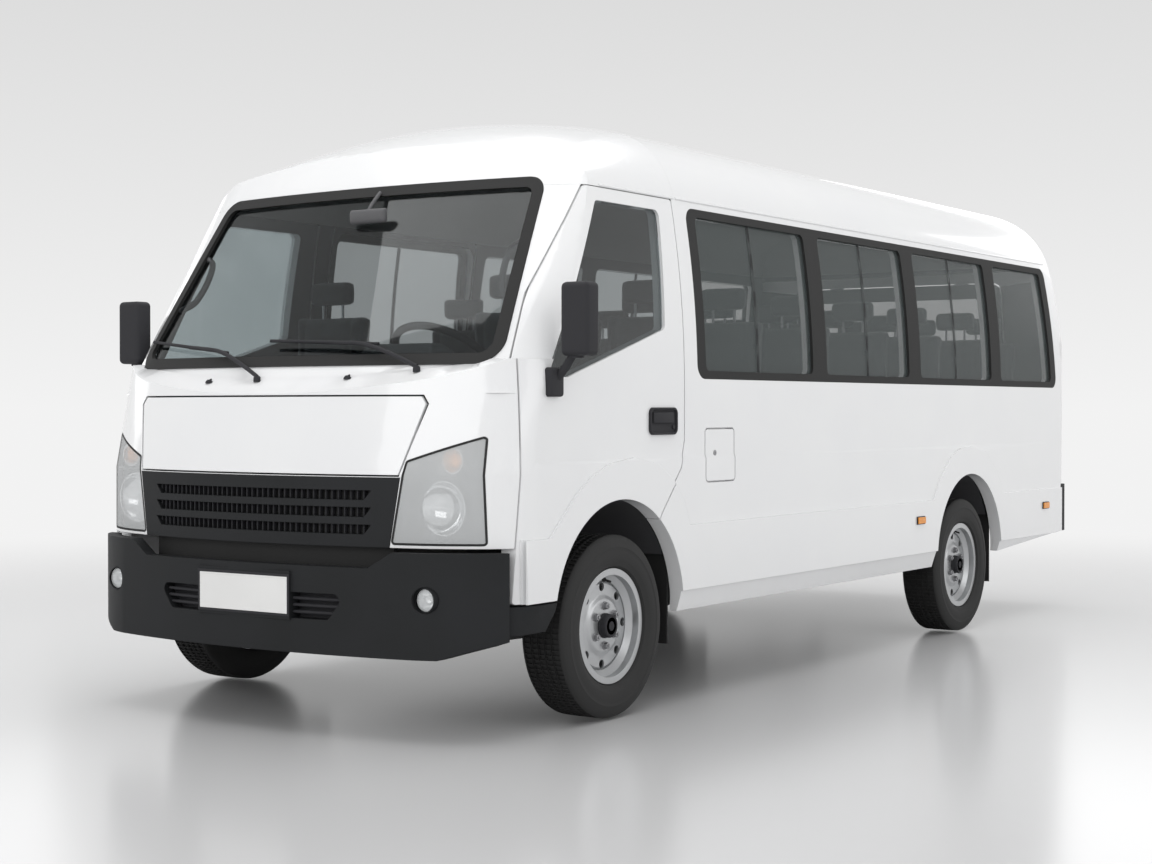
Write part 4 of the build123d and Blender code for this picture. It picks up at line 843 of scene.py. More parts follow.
def dress(piece: Piece, finish: Finish, body: str = "chassis",
          replaced: Sequence[str] = ()) -> None:
    """Give a piece its finish and its body, and report it.

    Args:
        piece: the finished mesh.
        finish: what it is made of.
        body: the body that it rides on.
        replaced: the built nodes that it stands for.
    """
    if not piece.data.materials:
        piece.data.materials.append(finish.build())
    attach(piece, body)
    if replaced:
        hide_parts(*replaced)
    LOG.info("%s rides on %s, %d faces", piece.name, body, len(piece.data.polygons))


@dataclass
class Surfaces:
    """The built nodes' faces, to place pieces on, met from points that lie outside the vehicle."""

    beside: float = 1.5
    ahead: float = -4.0
    behind: float = 3.2
    above: float = 1.6
    trees: dict[str, BVHTree] = field(default_factory=dict)

    def touch(self, node: str, start: Point, along: Point) -> Vector:
        """Where a straight line first meets a built node.

        Args:
            node: the node's name.
            start: a point outside the node.
            along: the line's direction.

        Returns:
            The point that it meets, or the start where nothing lies ahead.
        """
        if node not in self.trees:
            mesh = frame["nodes"][node].data
            corners = [vertex.co for vertex in mesh.vertices]
            faces = [tuple(face.vertices) for face in mesh.polygons]
            self.trees[node] = BVHTree.FromPolygons(corners, faces)
        place = self.trees[node].ray_cast(Vector(start), Vector(along).normalized())[0]
        if place is None:
            LOG.warning("nothing of %s lies ahead of %s", node, start)
            return Vector(start)
        return place

    def flank(self, node: str, side: Side, y: float, z: float) -> Vector:
        """Where a level line from beside the vehicle meets a built node."""
        return self.touch(node, (side.value * self.beside, y, z), (-side.value, 0, 0))

    def nose(self, node: str, x: float, z: float) -> Vector:
        """Where a level line from ahead of the vehicle meets a built node."""
        return self.touch(node, (x, self.ahead, z), (0, 1, 0))

    def tail(self, node: str, x: float, z: float) -> Vector:
        """Where a level line from behind the vehicle meets a built node."""
        return self.touch(node, (x, self.behind, z), (0, -1, 0))

    def cowl(self, x: float, y: float) -> Vector:
        """Where a line straight down meets the body below the windscreen."""
        return self.touch("body_front", (x, y, self.above), (0, 0, -1))


SURFACES = Surfaces()


# ---- the studio ----
@dataclass
class Studio:
    """Floor, light and camera round the vehicle."""

    floor_half: float = 60.0
    floor_colour: Point = (0.56, 0.56, 0.565)
    floor_roughness: float = 0.20
    floor_gloss: float = 0.28
    camera_place: Point = (4.900, -8.009, 1.187)
    camera_turn: Point = (89.27, 0.0, 34.14)
    lens: float = 58.5
    sensor: float = 36.0
    camera_reach: float = 400.0
    world_light: float = 0.84
    horizon: float = 0.89
    zenith: float = 0.45
    zenith_height: float = 0.55
    fade: tuple[float, float] = (3.8, 9.8)
    softboxes: tuple = (
        ("top_softbox", (0.0, -0.5, 6.5), (0.0, 0.0, 0.0), (7.0, 9.0), 270.0),
        ("nose_softbox", (1.5, -10.5, 3.6), (76.0, 0.0, 8.0), (7.0, 3.0), 140.0),
        ("left_softbox", (9.5, 1.0, 3.8), (70.0, 0.0, 92.0), (9.0, 3.0), 105.0),
        ("right_softbox", (-9.5, 0.0, 3.8), (70.0, 0.0, -90.0), (9.0, 3.0), 100.0),
        ("tail_softbox", (0.0, 10.5, 3.8), (-72.0, 0.0, 0.0), (7.0, 3.0), 100.0),
    )

    def build(self) -> None:
        """Make the floor, the world, the lamps and the camera."""
        self._floor()
        self._world()
        for name, place, turn, size, power in self.softboxes:
            Bench.clear()
            bpy.ops.object.light_add(type="AREA", location=place, rotation=self._radians(turn))
            lamp = bpy.context.object
            lamp.name = name
            lamp.data.shape = "RECTANGLE"
            lamp.data.size, lamp.data.size_y = size
            lamp.data.energy = power
        Bench.clear()
        bpy.ops.object.camera_add(location=self.camera_place, rotation=self._radians(self.camera_turn))
        camera = bpy.context.object
        camera.name = "studio_camera"
        camera.data.lens = self.lens
        camera.data.sensor_width = self.sensor
        camera.data.clip_end = self.camera_reach
        bpy.context.scene.camera = camera
        bpy.context.scene.view_settings.view_transform = "Standard"

    @staticmethod
    def _radians(turn: Point) -> list[float]:
        """Three angles in radians, from degrees."""
        return [math.radians(angle) for angle in turn]

    def _floor(self) -> None:
        """A wide pale floor that keeps the vehicle's shadow and turns into the backdrop far off."""
        Bench.clear()
        bpy.ops.mesh.primitive_plane_add(size=2 * self.floor_half, location=(0, 0, 0))
        floor = bpy.context.object
        floor.name = "studio_floor"
        material = bpy.data.materials.new("studio_floor")
        material.use_nodes = True
        tree = material.node_tree
        shader = tree.nodes["Principled BSDF"]
        shader.inputs["Base Color"].default_value = (*self.floor_colour, 1)
        shader.inputs["Roughness"].default_value = self.floor_roughness
        shader.inputs["Specular IOR Level"].default_value = self.floor_gloss
        near, far = self.fade
        place, reach = add(tree, "TexCoord"), add(tree, "VectorMath", operation="LENGTH")
        fade = add(tree, "MapRange", {"From Min": near, "From Max": far}, interpolation_type="SMOOTHSTEP")
        glow = add(tree, "Emission", {"Color": (self.horizon, self.horizon, self.horizon, 1)})
        mix = add(tree, "MixShader")
        wire(tree, (place, "Object", reach, 0), (reach, "Value", fade, "Value"),
             (fade, "Result", mix, "Fac"), (shader, "BSDF", mix, 1), (glow, "Emission", mix, 2),
             (mix, "Shader", tree.nodes["Material Output"], "Surface"))
        floor.data.materials.append(material)

    def _world(self) -> None:
        """Even light, seen by the camera and in reflections as a pale backdrop."""
        world = bpy.data.worlds.new("studio_world")
        bpy.context.scene.world = world
        world.use_nodes = True
        tree = world.node_tree
        tree.nodes.clear()
        out = add(tree, "OutputWorld")
        seen = add(tree, "Background", {"Strength": 1.0})
        light = add(tree, "Background", {"Color": (1.0, 1.0, 1.0, 1), "Strength": self.world_light})
        place, apart = add(tree, "TexCoord"), add(tree, "SeparateXYZ")
        height = add(tree, "MapRange", {"From Min": 0.0, "From Max": self.zenith_height,
                                        "To Min": self.horizon, "To Max": self.zenith})
        path, mix = add(tree, "LightPath"), add(tree, "MixShader")
        first, second = add(tree, "Math", operation="MAXIMUM"), add(tree, "Math", operation="MAXIMUM")
        wire(tree, (place, "Generated", apart, "Vector"), (apart, "Z", height, "Value"),
             (height, "Result", seen, "Color"), (path, "Is Camera Ray", first, 0),
             (path, "Is Glossy Ray", first, 1), (first, "Value", second, 0),
             (path, "Is Transmission Ray", second, 1), (second, "Value", mix, "Fac"),
             (light, "Background", mix, 1), (seen, "Background", mix, 2), (mix, "Shader", out, "Surface"))


# ---- panels and castings that keep the built shape ----
@dataclass(frozen=True)
class Panel:
    """A built node whose merged, smooth copy takes its place."""

    node: str
    finish: Finish
    body: str = "chassis"
    inner: Finish | None = None


@dataclass
class Panels:
    """Every panel, pane, casting and bar that keeps its built shape."""

    panels: tuple[Panel, ...] = (
        Panel("body_front", PAINT, inner=INTERIOR),
        Panel("side_left", PAINT, inner=INTERIOR),
        Panel("side_right", PAINT, inner=INTERIOR),
        Panel("roof_front", PAINT, inner=LINING),
        Panel("roof_rear", PAINT, inner=LINING),
        Panel("rear_panel", PAINT, inner=INTERIOR),
        Panel("sliding_door", PAINT, inner=INTERIOR),
        Panel("front_lid", PAINT, "front_lid"),
        Panel("tailgate", PAINT, "tailgate", INTERIOR),
        Panel("door_left", PAINT, "door_left", INTERIOR),
        Panel("door_right", PAINT, "door_right", INTERIOR),
        Panel("fuel_flap", PAINT, "fuel_flap"),
        Panel("window_seals", RUBBER),
        Panel("windshield", SCREEN_GLASS),
        Panel("side_glass", TINTED_GLASS),
        Panel("door_glass_left", SCREEN_GLASS, "door_left"),
        Panel("door_glass_right", SCREEN_GLASS, "door_right"),
        Panel("tailgate_glass", TINTED_GLASS, "tailgate"),
        Panel("front_bumper", CHARCOAL),
        Panel("rear_bumper", CHARCOAL),
        Panel("dashboard", INTERIOR),
        Panel("floor", FLOOR_MAT),
        Panel("mud_flaps", RUBBER),
        Panel("front_axle", CAST),
        Panel("rear_axle", CAST),
        Panel("engine", CAST),
        Panel("drive_shaft", BARE_STEEL),
        Panel("exhaust", BARE_STEEL),
        Panel("fuel_tank", CHASSIS_BLACK),
        Panel("leaf_springs", CHASSIS_BLACK),
        Panel("chassis_frame", CHASSIS_BLACK),
        Panel("seat_frames", CHASSIS_BLACK),
        Panel("knuckle_left", CAST, "knuckle_left"),
        Panel("knuckle_right", CAST, "knuckle_right"),
        Panel("tie_rod", CHASSIS_BLACK, "tie_rod"),
    )
    lining_foot: float = 2.0
    cabin_foot: float = 0.80
    cabin_half: float = 0.99
    flank_from: float = 0.80
    cowl_y: float = -2.45
    tail_y: float = 2.75
    tail_half: float = 0.97
    flank_facing: float = 0.35
    end_facing: float = 0.5

    def build(self) -> None:
        """Copy, smooth and dress every panel."""
        for panel in self.panels:
            piece = Bench.node_copy(panel.node, panel.node + "_dressed")
            piece.data.materials.append(panel.finish.build())
            if panel.inner:
                self._line(piece, panel.inner)
            dress(Bench.even_normals(piece), panel.finish, panel.body, [panel.node])

    def _line(self, piece: Piece, inner: Finish) -> None:
        """Give the faces that look into the cabin their own finish.

        Args:
            piece: the panel.
            inner: the finish of the side that faces the cabin.
        """
        piece.data.materials.append(inner.build())
        for face in piece.data.polygons:
            face.material_index = int(self._faces_cabin(face.center, face.normal))

    def _faces_cabin(self, place: Vector, normal: Vector) -> bool:
        """Tell whether a face looks into the cabin.

        Args:
            place: the middle of the face.
            normal: the way that it looks.

        Returns:
            Whether it takes the inner finish.
        """
        across = abs(place.x)
        if place.z > self.lining_foot and normal.z < -self.flank_facing:
            return True
        if across >= self.cabin_half or place.z <= self.cabin_foot:
            return False
        return (across > self.flank_from and normal.x * place.x < -self.flank_facing * across
                or place.y < self.cowl_y and normal.y > self.end_facing
                or place.y > self.tail_y and normal.y < -self.end_facing and across < self.tail_half)


# ---- wheels and tyres ----
@dataclass(frozen=True)
class Corner:
    """Where one wheel stands and what it rides on."""

    name: str
    side: Side
    y: float

    @property
    def body(self) -> str:
        """The body that turns with this wheel."""
        return "wheel_" + self.name

    @property
    def centre(self) -> Point:
        """The middle of the tyre."""
        return (self.side.value * TRACK_HALF, self.y, HUB_Z)


@dataclass
class Wheels:
    """Tyres with their tread, and steel wheels with nuts, cap and valve."""

    corners: tuple[Corner, ...] = (
        Corner("front_left", Side.LEFT, FRONT_AXLE_Y), Corner("front_right", Side.RIGHT, FRONT_AXLE_Y),
        Corner("rear_left", Side.LEFT, REAR_AXLE_Y), Corner("rear_right", Side.RIGHT, REAR_AXLE_Y),
    )
    tread_steps: int = 108
    block_gap: float = 0.0017
    casing: tuple = (
        (-0.0740, 0.2036), (-0.0740, 0.2206), (-0.0830, 0.2250), (-0.0915, 0.2300), (-0.0990, 0.2520),
        (-0.1003, 0.2560), (-0.1020, 0.2860), (-0.1008, 0.3000), (-0.1018, 0.3020), (-0.0985, 0.3200),
        (-0.0930, 0.3370), (-0.0870, 0.3455), (-0.0800, 0.3485),
    )
    ribs: tuple = (-0.0800, -0.0480, -0.0440, -0.0165, -0.0125, 0.0125, 0.0165, 0.0440, 0.0480, 0.0800)
    crown: float = 0.3500
    groove: float = 0.0070
    road_radius: float = 0.3568
    block_from: float = 0.3480
    block_half: float = 0.079
    nut_face: float = 0.052
    nut_count: int = 6
    nut_pitch: float = 0.076
    nut_radius: float = 0.0135
    nut_height: float = 0.017
    stud_radius: float = 0.006
    cap_profile: tuple = (
        (0.0520, 0.0), (0.0520, 0.0480), (0.0580, 0.0480), (0.0610, 0.0452), (0.0780, 0.0452),
        (0.0835, 0.0425), (0.0858, 0.0370), (0.0840, 0.0330), (0.0840, 0.0180), (0.0856, 0.0160),
        (0.0856, 0.0),
    )
    valve_line: tuple = ((0.048, 0.0, 0.176), (0.066, 0.0, 0.172), (0.080, 0.0, 0.168))
    valve_foot: tuple = ((0.045, 0.0, 0.1765), (0.053, 0.0, 0.1745))

    def build(self) -> None:
        """Make one wheel's pieces and copy them to every corner."""
        cap = Bench.turned("hub_cap", self.cap_profile, Axis.X, (0, 0, 0), steps=40)
        patterns = (
            (self._tyre(), "tyre_%s_treaded", TYRE, True),
            (self._nuts(), "wheel_nuts_%s", BARE_STEEL, False),
            (Bench.finish_mesh(cap), "hub_cap_%s", BLACK_PLASTIC, False),
            (self._valve(), "tyre_valve_%s", RUBBER, False),
        )
        for corner in self.corners:
            for pattern, name, finish, is_tyre in patterns:
                replaced = ["tyre_" + corner.name] if is_tyre else []
                dress(self._placed(pattern, corner, name % corner.name), finish, corner.body, replaced)
            rim = Bench.node_copy(corner.body, corner.body + "_dressed")
            dress(Bench.even_normals(rim), STEEL, corner.body, [corner.body])
        for pattern, *_ in patterns:
            bpy.data.objects.remove(pattern)

    @staticmethod
    def _placed(pattern: Piece, corner: Corner, name: str) -> Piece:
        """A copy of a pattern at a corner, turned to face outwards.

        Args:
            pattern: the piece about the origin.
            corner: where the copy goes.
            name: the copy's name.

        Returns:
            The copy, settled.
        """
        piece = Bench.copy_at(pattern, name, (0, 0, 0))
        piece.rotation_euler = (0, 0, 0 if corner.side is Side.LEFT else math.pi)
        piece.location = corner.centre
        return Bench.settle(piece)

    def _tyre(self) -> Piece:
        """A tyre with grooved tread blocks and ribbed sidewalls, about the origin.

        Returns:
            The tyre.
        """
        tread = []
        for index, (inner, outer) in enumerate(zip(self.ribs, self.ribs[1:])):
            radius = self.crown - self.groove * (index % 2)
            tread += [(inner, radius), (outer, radius)]
        far_side = [(-along, radius) for along, radius in reversed(self.casing)]
        profile = list(self.casing) + tread[1:-1] + far_side + [self.casing[0]]
        piece = Bench.turned("tyre_pattern", profile, Axis.X, (0, 0, 0), steps=self.tread_steps)
        grooves = list(zip(self.ribs[1::2], self.ribs[2::2]))

        def on_block(face: Face) -> bool:
            """Take the faces that touch the road.

            Args:
                face: a face of the tyre.

            Returns:
                Whether it is part of a tread block.
            """
            place = face.calc_center_median()
            return (math.hypot(place.y, place.z) > self.block_from and abs(place.x) < self.block_half
                    and not any(low < place.x < high for low, high in grooves))

        if Bench.work(piece, on_block):
            bpy.ops.mesh.inset(thickness=self.block_gap, use_individual=True, use_even_offset=True)
            bpy.ops.mesh.extrude_region_shrink_fatten(
                TRANSFORM_OT_shrink_fatten={"value": self.crown - self.road_radius})
        Bench.close()
        return Bench.finish_mesh(Bench.outwards(piece))

    def _nuts(self) -> Piece:
        """The wheel nuts on their seats, with the studs' ends, about the origin.

        Returns:
            The nuts, joined.
        """
        rounds = (("nut_seat", -0.002, 0.003, self.nut_radius * 1.25, 20),
                  ("nut", 0.002, self.nut_height, self.nut_radius, 6),
                  ("stud", 0.010, self.nut_height + 0.005, self.stud_radius, 12))
        nuts = []
        for index in range(self.nut_count):
            turn = math.tau * (index + 0.5) / self.nut_count
            y, z = self.nut_pitch * math.cos(turn), self.nut_pitch * math.sin(turn)
            for name, start, end, radius, sides in rounds:
                inner, outer = (self.nut_face + start, y, z), (self.nut_face + end, y, z)
                nuts.append(Bench.finish_mesh(Bench.bar(name, inner, outer, radius, sides), bevel=0.0012))
        return Bench.fused("wheel_nuts", nuts)

    def _valve(self) -> Piece:
        """The rubber valve near the rim's edge, about the origin.

        Returns:
            The valve.
        """
        stem = Bench.hose("valve_stem", self.valve_line, 0.0045)
        foot = Bench.bar("valve_foot", *self.valve_foot, 0.009, 16)
        return Bench.fused("tyre_valve", [stem, Bench.finish_mesh(foot, bevel=0.001)])


# ---- the nose: grille, lamps, nozzles, wipers ----
@dataclass(frozen=True)
class Reflector:
    """A reflector bowl in a headlamp, and the bulb that stands in it."""

    name: str
    x: float
    z: float
    radius: float
    depth: float
    bulb: str
    bulb_finish: Finish
    bulb_profile: tuple[tuple[float, float], ...]


@dataclass(frozen=True)
class Wiper:
    """A windscreen wiper: where its pivot, its arm's elbow and its blade's ends are."""

    name: str
    pivot: tuple[float, float]
    elbow: Point
    start: Point
    end: Point


@dataclass
class Nose:
    """Grille, headlamps, screen nozzles and wipers."""

    slots: tuple = ((0.735, 0.770), (0.797, 0.832), (0.858, 0.893))
    slot_half: float = 0.530
    rib_pitch: float = 0.0265
    rib_thickness: float = 0.006
    rib_set: float = 0.016
    rib_depth: float = 0.018
    rib_bite: float = 0.001
    # Black sheets behind the grille's slots and the valance paint the shade inside the nose.
    box_set: float = 0.036
    box_wall: float = 0.003
    box_room: float = 0.008
    valance_z: tuple[float, float] = (0.585, 0.697)
    valance_set: float = 0.050
    valance_wall: float = 0.004
    nose_y: float = -2.945
    nose_radius: float = 2.706
    lens_thickness: float = 0.0025
    bowl_wall: float = 0.002
    bowl_room: float = 0.065
    gasket_width: float = 0.008
    gasket_wall: float = 0.0036
    gasket_proud: float = 0.0008
    rim_gap: float = 0.006
    skin_facing: float = 0.45
    reflectors: tuple[Reflector, ...] = (
        Reflector(
            "headlamp_reflector_", 0.782, 0.830, 0.094, 0.052, "headlamp_bulb_", LENS,
            ((-0.046, 0.0), (-0.044, 0.008), (-0.036, 0.013), (-0.015, 0.013),
             (-0.004, 0.010), (-0.004, 0.0))),
        Reflector(
            "turn_reflector_", 0.820, 1.000, 0.042, 0.030, "turn_bulb_", AMBER,
            ((-0.032, 0.0), (-0.030, 0.014), (-0.024, 0.024), (-0.014, 0.028),
             (-0.006, 0.024), (-0.004, 0.0))),
    )
    divider_x: tuple[float, float] = (0.676, 0.926)
    divider_z: tuple[float, float] = (0.941, 0.949)
    divider_set: float = 0.006
    divider_depth: float = 0.030
    divider_steps: int = 12
    nozzles: tuple = (("right", -0.360, -2.790), ("left", 0.330, -2.770))
    arm_radius: float = 0.0082
    bridge_radius: float = 0.0064
    rubber_radius: float = 0.0042
    wipers: tuple[Wiper, ...] = (
        Wiper("right", (-0.110, -2.786), elbow=(-0.370, -2.712, 1.412),
              start=(-0.878, -2.588, 1.459), end=(-0.336, -2.712, 1.403)),
        Wiper("left", (0.620, -2.725), elbow=(0.364, -2.706, 1.428),
              start=(-0.123, -2.696, 1.446), end=(0.414, -2.692, 1.425)),
    )

    def surface(self, x: float) -> float:
        """Y of the nose's face below its knee, at a place across it."""
        return self.nose_y + x * x / (2 * self.nose_radius)

    def build(self) -> None:
        """Make everything on the nose."""
        self._grille()
        for side in Side:
            self._lamp(side)
        self._nozzles()
        for wiper in self.wipers:
            self._wiper(wiper)

    def _grille(self) -> None:
        """The grille's frame and slats, the upright ribs in its slots, and black sheets behind the slots and
        the valance, painted shade for the dark inside of the nose.
        """
        piece = Bench.node_copy("grille", "grille_dressed")
        dress(Bench.finish_mesh(piece), CHARCOAL, replaced=["grille"])
        ribs, sheets = [], []
        count = int(self.slot_half / self.rib_pitch)
        half = self.rib_thickness / 2
        for low, high in self.slots:
            for index in range(-count, count + 1):
                x = index * self.rib_pitch
                y = self.surface(x) + self.rib_set
                ribs.append(Bench.block("rib", (x - half, y, low - self.rib_bite),
                                        (x + half, y + self.rib_depth, high + self.rib_bite)))
        bank = Bench.fused("grille_ribs", ribs)
        dress(Bench.finish_mesh(bank, bevel=0.0012, segments=1), BLACK_PLASTIC)
        # Black sheets behind the slots and the valance: painted shade for the dark inside of the nose.
        for low, high in self.slots:
            sheets.append(self._sheet(self.box_set, self.box_wall, low - self.box_room, high + self.box_room))
        sheets.append(self._sheet(self.valance_set, self.valance_wall, *self.valance_z))
        box = Bench.fused("grille_air_box", sheets)
        dress(Bench.finish_mesh(box, bevel=0.0008, segments=1), RUBBER)

    def _sheet(self, set_back: float, wall: float, low: float, high: float) -> Piece:
        """An upright sheet that follows the nose's curve behind its face.

        Args:
            set_back: how far behind the face it stands.
            wall: its thickness.
            low: the height of its foot.
            high: the height of its top.

        Returns:
            The sheet.
        """
        across = [index / 10 for index in range(-6, 7)]
        points = [(x, self.surface(x) + set_back, low) for x in across]
        points += [(x, self.surface(x) + set_back + wall, low) for x in reversed(across)]
        return Bench.outline("sheet", points, (0, 0, high - low))

    def _lamp(self, side: Side) -> None:
        """One headlamp: bowl, lens, seal, two reflectors with their bulbs, and divider.

        Args:
            side: the side that it is on.
        """
        bowl = self._half_of_lamp(side, "headlamp_bowl_" + side.word, outer=False)
        Bench.work(bowl, lambda face: face.normal.y > self.skin_facing)
        bpy.ops.transform.translate(value=(0, self.bowl_room, 0))
        Bench.close()
        lens = self._half_of_lamp(side, "headlamp_lens_" + side.word, outer=True)
        dress(self._thicken(bowl, self.bowl_wall), LAMP_BOWL, replaced=["headlamps"])
        dress(self._thicken(lens, self.lens_thickness), LENS, replaced=["headlamps"])
        self._gasket(side)
        for part in self.reflectors:
            centre = self._seated(side.value * part.x, part.z, part.radius, part.depth)
            dress(self.reflector(part.name + side.word, centre, part.radius, part.depth), CHROME)
            bulb = Bench.turned(part.bulb + side.word, part.bulb_profile, Axis.Y, centre, steps=24)
            dress(Bench.finish_mesh(bulb), part.bulb_finish)
        self._divider(side)

    def _seated(self, x: float, z: float, radius: float, depth: float) -> Point:
        """The middle of a bowl whose whole rim lies behind the lamp's lens.

        Args:
            x: the place of its middle across the vehicle.
            z: the height of its middle.
            radius: the rim's radius.
            depth: how far its middle lies behind its rim.

        Returns:
            The middle.
        """
        turns = [math.tau * turn / 12 for turn in range(12)]
        rim = [(x + radius * math.cos(turn), z + radius * math.sin(turn)) for turn in turns]
        deepest = max(SURFACES.nose("headlamps", *place).y for place in rim)
        return x, deepest + depth + self.rim_gap, z

    def _gasket(self, side: Side) -> None:
        """The dark rim round one lamp's lens.

        Args:
            side: the side that the lamp is on.
        """
        rim = self._half_of_lamp(side, "headlamp_gasket_" + side.word, outer=True)
        Bench.work(rim, lambda face: True)
        bpy.ops.mesh.inset(thickness=self.gasket_width, use_even_offset=True)
        bpy.ops.mesh.delete(type="FACE")
        Bench.close()
        for vertex in rim.data.vertices:
            vertex.co.y -= self.gasket_proud
        dress(self._thicken(rim, self.gasket_wall), RUBBER, replaced=["headlamps"])

    def _divider(self, side: Side) -> None:
        """The dark rail between one lamp's two reflectors, just behind the lens.

        Args:
            side: the side that the lamp is on.
        """
        low, high = self.divider_z
        inner, outer = self.divider_x
        rail = []
        for index in range(self.divider_steps + 1):
            x = side.value * (inner + (outer - inner) * index / self.divider_steps)
            rail.append((x, SURFACES.nose("headlamps", x, (low + high) / 2).y + self.divider_set, low))
        rail += [(x, y + self.divider_depth, z) for x, y, z in reversed(rail)]
        divider = Bench.outline("lamp_divider_" + side.word, rail, (0, 0, high - low))
        dress(Bench.finish_mesh(divider, bevel=0.0015), CHARCOAL)

    @staticmethod
    def reflector(name: str, centre: Point, radius: float, depth: float) -> Piece:
        """A stepped bowl that faces the nose.

        Args:
            name: the piece's name.
            centre: the middle of its inner face.
            radius: the rim's radius.
            depth: how far the rim stands before the middle.

        Returns:
            The bowl.
        """
        profile = [
            (0.0, 0.0), (-0.002, radius * 0.20), (-0.10 * depth, radius * 0.42),
            (-0.35 * depth, radius * 0.70), (-0.72 * depth, radius * 0.92), (-depth, radius),
            (-depth, radius + 0.004),
            (-0.72 * depth, radius * 0.92 + 0.005), (-0.33 * depth, radius * 0.70 + 0.006),
            (0.004, radius * 0.42), (0.005, 0.0)]
        return Bench.finish_mesh(Bench.turned(name, profile, Axis.Y, centre))

    def _half_of_lamp(self, side: Side, name: str, outer: bool) -> Piece:
        """The lamp's outer skin, or the bowl behind it, from the built lamp of one side.

        Args:
            side: the side of the lamp.
            name: the piece's name.
            outer: whether the outer skin is kept.

        Returns:
            The open skin.
        """
        def unwanted(face: Face) -> bool:
            """Take what belongs to the other lamp or the other layer."""
            front = face.normal.y < -self.skin_facing
            return face.calc_center_median().x * side.value < 0 or front is not outer

        return Bench.cut_away(Bench.node_copy("headlamps", name), unwanted)

    @staticmethod
    def _thicken(piece: Piece, wall: float) -> Piece:
        """Give an open skin a wall inwards.

        Args:
            piece: the skin.
            wall: the wall's thickness.

        Returns:
            The piece, smooth by angle.
        """
        Bench.pick(piece)
        solid = piece.modifiers.new("wall", "SOLIDIFY")
        solid.thickness = wall
        solid.offset = -1
        solid.use_even_offset = False
        bpy.ops.object.modifier_apply(modifier=solid.name)
        bpy.ops.object.shade_smooth_by_angle(angle=SMOOTH_ANGLE)
        return piece

    def _nozzles(self) -> None:
        """Two screen washer nozzles on the cowl."""
        profile = [(-0.001, 0.0), (-0.001, 0.015), (0.004, 0.0145),
                   (0.010, 0.010), (0.013, 0.006), (0.013, 0.0)]
        for word, x, y in self.nozzles:
            place = SURFACES.cowl(x, y)
            foot = Bench.turned("foot", profile, Axis.Z, tuple(place), steps=24)
            jet_foot, jet_tip = place + Vector((0, 0.002, 0.010)), place + Vector((0, 0.012, 0.014))
            jet = Bench.bar("jet", jet_foot, jet_tip, 0.0035, 12)
            nozzle = Bench.fused("washer_nozzle_" + word, [foot, jet])
            dress(Bench.finish_mesh(nozzle), BLACK_PLASTIC)

    def _wiper(self, wiper: Wiper) -> None:
        """One wiper: pivot, bent arm, blade bridge and rubber.

        Args:
            wiper: where its parts are.
        """
        foot = SURFACES.cowl(*wiper.pivot) + Vector((0, 0, 0.0003))
        elbow, start, end = Vector(wiper.elbow), Vector(wiper.start), Vector(wiper.end)
        middle = (start + end) / 2
        top = foot + Vector((0, 0, 0.020))
        crown, bow, tuck = Vector((0, -0.007, 0.002)), Vector((0, -0.005, 0.001)), Vector((0, 0.003, -0.002))
        hub = Bench.turned("hub", [(0.0, 0.0), (0.0, 0.014), (0.016, 0.0135), (0.022, 0.010), (0.024, 0.0)],
                           Axis.Z, tuple(foot), steps=24)
        arm = Bench.hose("arm", [top, top.lerp(elbow, 0.25) + Vector((0, -0.004, 0.006)), elbow,
                                 elbow.lerp(middle, 0.6), middle], self.arm_radius)
        bridge = Bench.hose("bridge", [start, start.lerp(middle, 0.5) + bow, middle + crown,
                                       end.lerp(middle, 0.5) + bow, end], self.bridge_radius)
        rubber = Bench.hose("rubber", [start + tuck, middle + Vector((0, 0.002, -0.002)), end + tuck],
                            self.rubber_radius)
        piece = Bench.fused("wiper_" + wiper.name, [hub, arm, bridge, rubber])
        dress(Bench.finish_mesh(piece), BLACK_PLASTIC, replaced=["wipers"])


